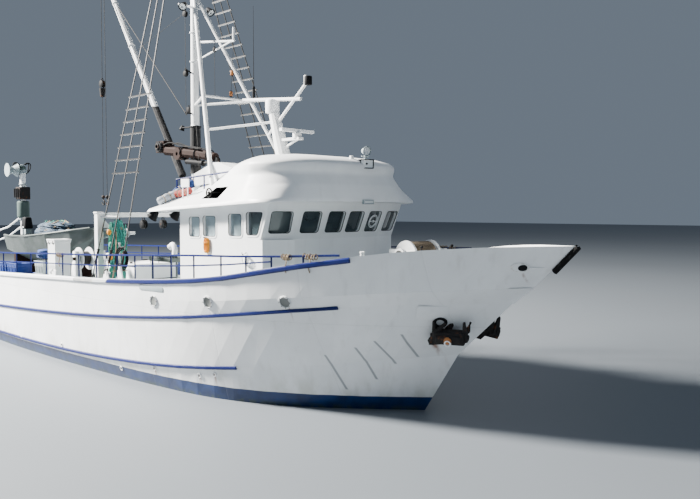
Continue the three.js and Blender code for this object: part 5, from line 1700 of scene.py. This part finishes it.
class VESSEL_OT_deck_gear(bpy.types.Operator):
    """Stows the bins, crates, cover, winch, hatch fittings, sorting table and vents"""

    bl_idname = "vessel.deck_gear"
    bl_label = "Deck gear"

    def execute(self, context):
        self.bins()
        self.winch()
        self.hatch()
        self.machinery()
        cover = drape("folded_cover", (-4.45, -2.85, 2.72), (-3.75, -2.3, 3.02), "blue_canvas", 4, 8, 4)
        fitted(cover)
        crate = fish_bin(0.6, 0.42, 0.38, "grey_paint")
        x, y = -4.1, -2.58
        for i, lift in enumerate((0, 0.37)):
            fitted(copied(crate, f"deck_crate_{i + 1}", at(x, y, deck_height(x, y) + lift)))
        scrap(crate)
        return {"FINISHED"}

    def bins(self):
        model = fish_bin(0.8, 0.5, 0.32, "blue_plastic")
        for i, (x, y, level) in enumerate(BIN_SPOTS):
            z = deck_height(x, y) + level * 0.3
            fitted(copied(model, f"fish_bin_{i + 1}", at(x, y, z)))
        scrap(model)

    def winch(self):
        """A white warping winch beside the hatch"""
        x = -1.6
        base = deck_height(x, -1.1)
        parts = []
        for y in (-1.5, -0.7):
            cheek = block("cheek", (-1.95, y - 0.03, base - 0.02), (-1.25, y + 0.03, base + 1.0))
            squeeze(cheek, facing_up, (0.45, 1, 1))
            parts.append(painted(round_edges(cheek, 0.01), "mast_paint"))
        z = base + 0.78
        for start, end, radius, sides in ((-1.75, -0.45, 0.05, 18), (-1.46, -0.74, 0.16, 28)):
            parts.append(painted(drum("shaft", (x, start, z), (x, end, z), radius, sides), "rusty_iron"))
        for y in (-1.42, -0.78, -1.1):
            flange = drum("flange", (x, y - 0.012, z), (x, y + 0.012, z), 0.33, 32)
            push_faces(flange, lambda c, n: abs(n.y) > FLAT, inset=0.05)
            parts.append(painted(round_edges(flange, 0.006), "mast_paint"))
        for i in range(14):
            y = -1.37 + i * 0.042
            if abs(y + 1.1) > 0.03:
                parts.append(painted(ring("turn", (x, y, z), (0, 1, 0), 0.19, 0.024, 24, 6), "steel_wire"))
        for y in (-1.72, -0.48):
            head = rounded_drum("head", (x, y - 0.07, z), (x, y + 0.07, z), 0.13, 24, 0.03, 3)
            parts.append(painted(head, "mast_paint"))
        parts.append(painted(slab("bed", (-2.0, -1.6, base - 0.03), (-1.2, -0.6, base + 0.08), 0.015), "mast_paint"))
        fitted(placed(joined("deck_winch", parts), at(*WINCH_SHIFT, 0)))

    def hatch(self):
        dogs = []
        for x in (-3.2, -2.6):
            for y in (-0.62, 0.62):
                dogs.append((drum, "rusty_iron", (x, y, 2.55), (x, y, 2.6), 0.045, 16))
                dogs.append((slab, "rusty_iron", (x - 0.07, y - 0.014, 2.58), (x + 0.07, y + 0.014, 2.61), 0.006))
        grip = [(-2.3, y, z) for y, z in ((-0.14, 2.56), (-0.14, 2.64), (0.14, 2.64), (0.14, 2.56))]
        dogs = kit("hatch_dogs", *dogs, (pipe, "rusty_iron", grip, 0.014),
                   (slab, "house_paint", (-3.45, -0.05, 2.555), (-2.35, 0.05, 2.575), 0.008))
        fitted(dogs, "hatch")
        knuckles = kit("hatch_knuckles", *(
            (drum, "rusty_iron", (-3.63, y - 0.08, 2.575), (-3.63, y + 0.08, 2.575), 0.022, 14) for y in (-0.45, 0.45)))
        fitted(knuckles, "hatch")

    def machinery(self):
        """A sorting table before the gantry and two vents on the port side"""
        base = deck_height(0.9, -1.3)
        tray = block("tray", (0.35, -1.75, base + 0.78), (1.4, -0.9, base + 0.9))
        push_faces(tray, facing_up, inset=0.05, push=-0.07)
        parts = [painted(round_edges(tray, 0.012), "bare_aluminium")]
        corners = [(0.42, -1.69), (0.42, -0.96), (1.33, -1.69), (1.33, -0.96)]
        for x, y in corners:
            leg = drum("leg", (x, y, base - 0.03), (x, y, base + 0.8), 0.026, 12)
            parts.append(painted(leg, "bare_aluminium"))
        shelf = [(*corners[k], base + 0.3) for k in (0, 2, 3, 1, 0)]
        parts.append(painted(pipe("shelf", shelf, 0.018), "bare_aluminium"))
        fitted(joined("sorting_table", parts))
        for i, (x, y, height) in enumerate(((1.9, 1.9, 1.0), (-4.2, 1.9, 0.8))):
            foot = deck_height(x, y)
            top = foot + height
            bend = [(x, y, top - 0.02), (x, y, top + 0.18), (x - 0.12, y, top + 0.28), (x - 0.26, y, top + 0.2)]
            vent = kit(
                f"deck_vent_{i + 1}", (drum, "mast_paint", (x, y, foot - 0.03), (x, y, top), 0.09, 24),
                (pipe, "mast_paint", bend, 0.09, True, 20),
                (ring, "mast_paint", (x, y, foot + 0.04), UP, 0.1, 0.02, 28, 6),
                (ring, "mast_paint", (x - 0.26, y, top + 0.2), (-0.85, 0, -0.5), 0.095, 0.018, 28, 8))
            fitted(vent)


def deck_height(x, y):
    return Skin("hull").below(x, y)[0].z - 0.004


def fish_bin(length, width, height, finish):
    """An open stacking bin with a rim, a band and ribs, standing on the origin"""
    tub = block("bin", (-length / 2, -width / 2, 0), (length / 2, width / 2, height))
    squeeze(tub, facing_down, (0.9, 0.88, 1))
    push_faces(tub, facing_up, inset=0.025, push=-height + 0.03)
    parts = [painted(round_edges(tub, 0.008), finish)]
    rim = [(-length / 2, -width / 2), (length / 2, -width / 2), (length / 2, width / 2), (-length / 2, width / 2),
           (-length / 2, -width / 2)]
    parts.append(painted(pipe("rim", [(x, y, height - 0.01) for x, y in rim], 0.016), finish))
    parts.append(painted(pipe("band", [(x * 0.965, y * 0.96, height * 0.62) for x, y in rim], 0.009, sides=6), finish))
    for x in (-length * 0.3, 0, length * 0.3):
        for k in (-1, 1):
            y = k * width * 0.47
            rib = block("rib", (x - 0.012, y - 0.012, 0.03), (x + 0.012, y + 0.012, height - 0.02))
            parts.append(painted(rib, finish))
    return joined("bin", parts)


class VESSEL_OT_skiff_gear(bpy.types.Operator):
    """Gives the skiff its rims, thwarts, net heap with lines, box and outboard motor"""

    bl_idname = "vessel.skiff_gear"
    bl_label = "Skiff gear"

    def execute(self, context):
        skin = Skin("skiff")
        rims = {-1: [], 1: []}
        for i in range(19):
            x = -9.1 + i * (4.9 / 18)
            for k in (-1, 1):
                for step in range(60):
                    y = -1.0 + k * (1.04 - step * 0.018)
                    place, _, _, _ = skin.tree.ray_cast(Vector((x, y, 5)), Vector((0, 0, -1)))
                    if place is not None and place.z > 3.2:
                        rims[k].append(place + UP * 0.012)
                        break
        for k, label in ((-1, "outer"), (1, "inner")):
            if len(rims[k]) > 3:
                bar = painted(pipe(f"skiff_{label}_rim", rims[k], 0.03, curved=True), "bare_aluminium")
                fitted(bar)
        for i, x in enumerate((-8.1, -6.9, -5.8)):
            half = 0.84 if i < 2 else 0.72
            seat = block(f"skiff_thwart_{i + 1}", (x - 0.14, -1.0 - half, 3.14), (x + 0.14, -1.0 + half, 3.19))
            push_faces(seat, facing_up, inset=0.02, push=-0.006)
            fitted(painted(round_edges(seat, 0.01), "bare_aluminium"))
        heap = drape("skiff_net_heap", (-7.85, -1.62, 3.02), (-5.95, -0.3, 3.78), "dark_netting", 9, 21)
        fitted(heap)
        draw = random.Random(5)
        lines = []
        for i in range(16):
            a = draw.uniform(0, 6.28)
            points = []
            for k in range(5):
                turn = a + k * 0.5
                points.append((-6.9 + math.cos(turn) * (0.85 - 0.1 * k), -0.96 + math.sin(turn) * (0.56 - 0.07 * k),
                               3.44 + 0.09 * k + draw.uniform(0, 0.03)))
            lines.append((pipe, "green_twine" if i % 2 else "laid_rope", points, 0.014, True, 6))
        fitted(kit("skiff_net_lines", *lines))
        crate = fish_bin(0.55, 0.42, 0.34, "grey_paint")
        fitted(copied(crate, "skiff_box", at(-5.35, -1.0, 3.2)))
        scrap(crate)
        self.motor()
        return {"FINISHED"}

    def motor(self):
        cowl = block("cowl", (-9.42, -1.16, 3.5), (-9.02, -0.84, 3.92))
        squeeze(cowl, facing_up, (0.75, 0.75, 1))
        painted(round_edges(cowl, 0.06, 4), "black_paint")
        leg = kit(
            "leg", (slab, "grey_paint", (-9.3, -1.05, 2.72), (-9.18, -0.95, 3.55), 0.02, 3),
            (slab, "grey_paint", (-9.36, -1.04, 2.62), (-9.02, -0.96, 2.78), 0.03, 3),
            (slab, "grey_paint", (-9.2, -1.12, 3.3), (-9.06, -0.88, 3.54), 0.02),
            (ring, "house_paint", (-9.22, -1.0, 3.56), UP, 0.17, 0.012, 24, 6))
        fitted(joined("skiff_motor", [cowl, leg]))


# The windlass drum's axis: station and height
WINDLASS = (8.1, 3.26)
# Rail lashings: station, height and width; and how the end of each hangs
LASHINGS = ((6.83, 3.4, 0.1), (7.4, 3.4, 0.16), (-1.9, 3.2, 0.12))
LASHING_END = ((0, 0.02, 0), (0.03, 0.03, -0.12), (-0.02, 0.03, -0.26), (0.02, 0.03, -0.34))


class VESSEL_OT_foredeck_gear(bpy.types.Operator):
    """Winds the windlass rope and sets the motor, brakes, lashings, raked post and anchor crowns"""

    bl_idname = "vessel.foredeck_gear"
    bl_label = "Foredeck gear"

    def execute(self, context):
        x, z = WINDLASS
        turns = []
        for layer, radius in enumerate((0.172, 0.205, 0.238)):
            for i in range(16 - layer):
                y = -0.335 + 0.0225 * layer + i * 0.0445
                turns.append((ring, "dark_rope", (x, y, z), (0.03 * (-1) ** layer, 1, 0.02), radius, 0.021, 26, 6))
        fitted(kit("windlass_rope", *turns), "windlass")
        for side, k in SIDES:
            hub = drum(f"{side}_drum_cap", (x, k * 0.6, z), (x, k * 0.63, z), 0.09, 20)
            push_faces(hub, lambda c, n, k=k: n.y * k > FLAT, inset=0.03, push=0.02)
            fitted(painted(round_edges(hub, 0.008), "rusty_iron"), "windlass")
            rim = ring(f"{side}_disc_rim", (x, k * 0.385, z), (0, 1, 0), 0.272, 0.013, 36, 6)
            fitted(painted(rim, "mast_paint"), "windlass")
        motor = kit(
            "windlass_motor", (drum, "grey_paint", (7.6, -0.2, 2.86), (7.6, 0.22, 2.86), 0.13, 24),
            (slab, "mast_paint", (7.46, -0.2, 2.5), (7.74, 0.2, 2.8), 0.02),
            (ring, "rusty_iron", (7.6, 0.0, 2.86), (0, 1, 0), 0.13, 0.014, 24, 6))
        fitted(motor)
        for side, k in SIDES:
            y = k * 0.49
            lever = kit(
                f"brake_lever_{side}", (pipe, "rusty_iron", [(8.4, y, 2.7), (8.56, y, 3.16), (8.6, y, 3.42)], 0.016),
                (ball, "black_rubber", (8.6, y, 3.43), 0.03))
            fitted(lever)
        self.lashings()
        self.anchors()
        self.post()
        return {"FINISHED"}

    def lashings(self):
        for i, (station, height, spread) in enumerate(LASHINGS):
            for side, hand in SIDES:
                place, _, _, _ = Skin(f"{side}_rail").tree.find_nearest(Vector((station, hand * 2.6, height)))
                turns = []
                for k in range(5):
                    centre = place + Vector((spread * (k - 2) / 2, 0, -0.024 - 0.012 * (k % 2)))
                    turns.append((ring, "laid_rope", centre, (1, 0.2 * (k % 2), 0.1), 0.05, 0.013, 18, 6))
                drop = [place + Vector((x, hand * y, z)) for x, y, z in LASHING_END]
                lashing = kit(f"{side}_rail_lashing_{i + 1}", *turns, (pipe, "laid_rope", drop, 0.013, True, 6))
                fitted(lashing)

    def post(self):
        """A short raked post inside the starboard bulwark"""
        deck = Skin("hull").below(7.95, -1.5)[0]
        post = kit("raked_post", (taper, "mast_paint", deck - UP * 0.03, (8.02, -1.6, 3.36), 0.05, 0.04, 18),
                   (ring, "mast_paint", (8.02, -1.6, 3.35), (0.1, -0.1, 1), 0.036, 0.014, 18, 6))
        fitted(post)

    def anchors(self):
        """A heavy crown with raised flukes, a worn hub and a ring on each anchor"""
        for side, hand in SIDES:
            low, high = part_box(f"{side}_anchor")
            middle = (Vector(low) + Vector(high)) / 2
            matrix = outward(middle + Vector((0.06, hand * 0.03, -0.03)), (0.35, hand * 0.9, -0.3))
            crown = block("crown", (-0.3, -0.15, -0.1), (0.3, 0.1, 0.12))
            push_faces(crown, facing_up, inset=0.05, push=0.05)
            parts = [painted(round_edges(crown, 0.05, 4), "rusty_iron")]
            for k in (-1, 1):
                fluke = block("fluke", (k * 0.3 - 0.06, -0.1, -0.08), (k * 0.3 + 0.06, 0.3, 0.08))
                squeeze(fluke, lambda c, n: n.y > 0.9, (0.35, 1, 0.4), center_override=(k * 0.3, 0.3, 0))
                parts.append(painted(round_edges(fluke, 0.02, 3), "rusty_iron"))
            hub = rounded_drum("hub", (0, -0.03, 0.12), (0, -0.03, 0.2), 0.075, 20, 0.012)
            eye = ring("eye", (0, -0.08, 0.19), UP, 0.055, 0.017, 20, 8)
            stock = drum("stock", (-0.38, 0.0, 0.02), (0.38, 0.0, 0.02), 0.04, 14)
            parts += [painted(hub, "rust_orange"), painted(eye, "house_paint"), painted(stock, "rusty_iron")]
            fitted(placed(joined(f"{side}_anchor_crown", parts), matrix))


# Camera, lights and floor


FRAME_WIDTH = 700
FOCAL_PIXELS = 775
SENSOR_WIDTH = 36
CAMERA_PLACE = (18.498, -12.4125, 4.17)
# Degrees below the level, and from the beam towards the bow
CAMERA_DIP = 2.918
CAMERA_BEARING = 45
FAR_LIMIT = 500
FLOOR_WIDTH = 400
FLOOR_TONES = ((0.13, 0.148, 0.168), (0.155, 0.175, 0.195))
SKY = (0.62, 0.76, 0.95, 1)
SKY_STRENGTH = 0.24


class VESSEL_OT_camera(bpy.types.Operator):
    """Sets the camera at the photograph's place and angle"""

    bl_idname = "vessel.camera"
    bl_label = "Camera"

    def execute(self, context):
        clear_selection()
        turn = (math.radians(90 - CAMERA_DIP), 0, math.radians(CAMERA_BEARING))
        bpy.ops.object.camera_add(location=CAMERA_PLACE, rotation=turn)
        camera = bpy.context.object
        camera.name = "bow_camera"
        camera.data.sensor_width = SENSOR_WIDTH
        camera.data.lens = SENSOR_WIDTH * FOCAL_PIXELS / FRAME_WIDTH
        camera.data.clip_end = FAR_LIMIT
        context.scene.camera = camera
        return {"FINISHED"}


LIGHTS = (
    # name, place, aim, size, power, colour
    ("key", (-29, -23, 30), (1, 0, 3), 7, 215000, (1.0, 0.96, 0.90)),
    ("fill", (34, -6, 16), (4, 0, 4), 18, 1500, (0.80, 0.90, 1.0)),
    ("back", (-16, 30, 20), (0, 0, 3), 20, 1200, (0.92, 0.96, 1.0)),
)


class VESSEL_OT_stage(bpy.types.Operator):
    """Lays the pale floor at the waterline and sets the soft lights"""

    bl_idname = "vessel.stage"
    bl_label = "Stage"

    def execute(self, context):
        clear_selection()
        bpy.ops.mesh.primitive_plane_add(size=FLOOR_WIDTH, location=(0, 0, 0))
        floor = named("studio_floor")
        surface = Finish("studio_floor", Roughness=0.6)
        surface.surface(surface.mix(*FLOOR_TONES, surface.noise(0.05, 2)))
        painted(floor, "studio_floor")
        for name, place, aim, size, power, colour in LIGHTS:
            turn = (Vector(aim) - Vector(place)).to_track_quat("-Z", "Y").to_euler()
            bpy.ops.object.light_add(type="AREA", location=place, rotation=turn)
            lamp = bpy.context.object
            lamp.name = name
            lamp.data.size = size
            lamp.data.energy = power
            lamp.data.color = colour
        world = bpy.data.worlds.new("studio")
        world.use_nodes = True
        sky = world.node_tree.nodes["Background"].inputs
        sky["Color"].default_value = SKY
        sky["Strength"].default_value = SKY_STRENGTH
        context.scene.world = world
        return {"FINISHED"}


# Panel and start

PANEL_ORDER = (
    VESSEL_OT_camera, VESSEL_OT_finishes, VESSEL_OT_portholes, VESSEL_OT_hull_fittings, VESSEL_OT_window_frames,
    VESSEL_OT_house_fittings, VESSEL_OT_domed_roof, VESSEL_OT_roof_gear, VESSEL_OT_mast_gear, VESSEL_OT_shroud_fittings,
    VESSEL_OT_boom_gear, VESSEL_OT_crane_gear, VESSEL_OT_net, VESSEL_OT_gantry_gear, VESSEL_OT_hauler_gear,
    VESSEL_OT_deck_gear, VESSEL_OT_skiff_gear, VESSEL_OT_foredeck_gear,
    VESSEL_OT_stage,
)


class VESSEL_PT_panel(bpy.types.Panel):
    """Lists the steps that dress the vessel"""

    bl_label = "Vessel"
    bl_idname = "VESSEL_PT_panel"
    bl_space_type = "VIEW_3D"
    bl_region_type = "UI"
    bl_category = "Vessel"

    def draw(self, context):
        for step in PANEL_ORDER:
            self.layout.operator(step.bl_idname)
        for group in (context.scene.vessel_sizes, context.scene.vessel_colours):
            for key in group.bl_rna.properties.keys():
                if key not in ("rna_type", "name"):
                    self.layout.prop(group, key)


CLASSES = (VesselSizes, VesselColours, *PANEL_ORDER, VESSEL_PT_panel)


def register():
    for cls in CLASSES:
        bpy.utils.register_class(cls)
    bpy.types.Scene.vessel_sizes = bpy.props.PointerProperty(type=VesselSizes)
    bpy.types.Scene.vessel_colours = bpy.props.PointerProperty(type=VesselColours)


def unregister():
    del bpy.types.Scene.vessel_colours
    del bpy.types.Scene.vessel_sizes
    for cls in reversed(CLASSES):
        bpy.utils.unregister_class(cls)


def main():
    register()
    for step in PANEL_ORDER:
        group, name = step.bl_idname.split(".")
        getattr(getattr(bpy.ops, group), name)()


if __name__ == "__main__":
    main()
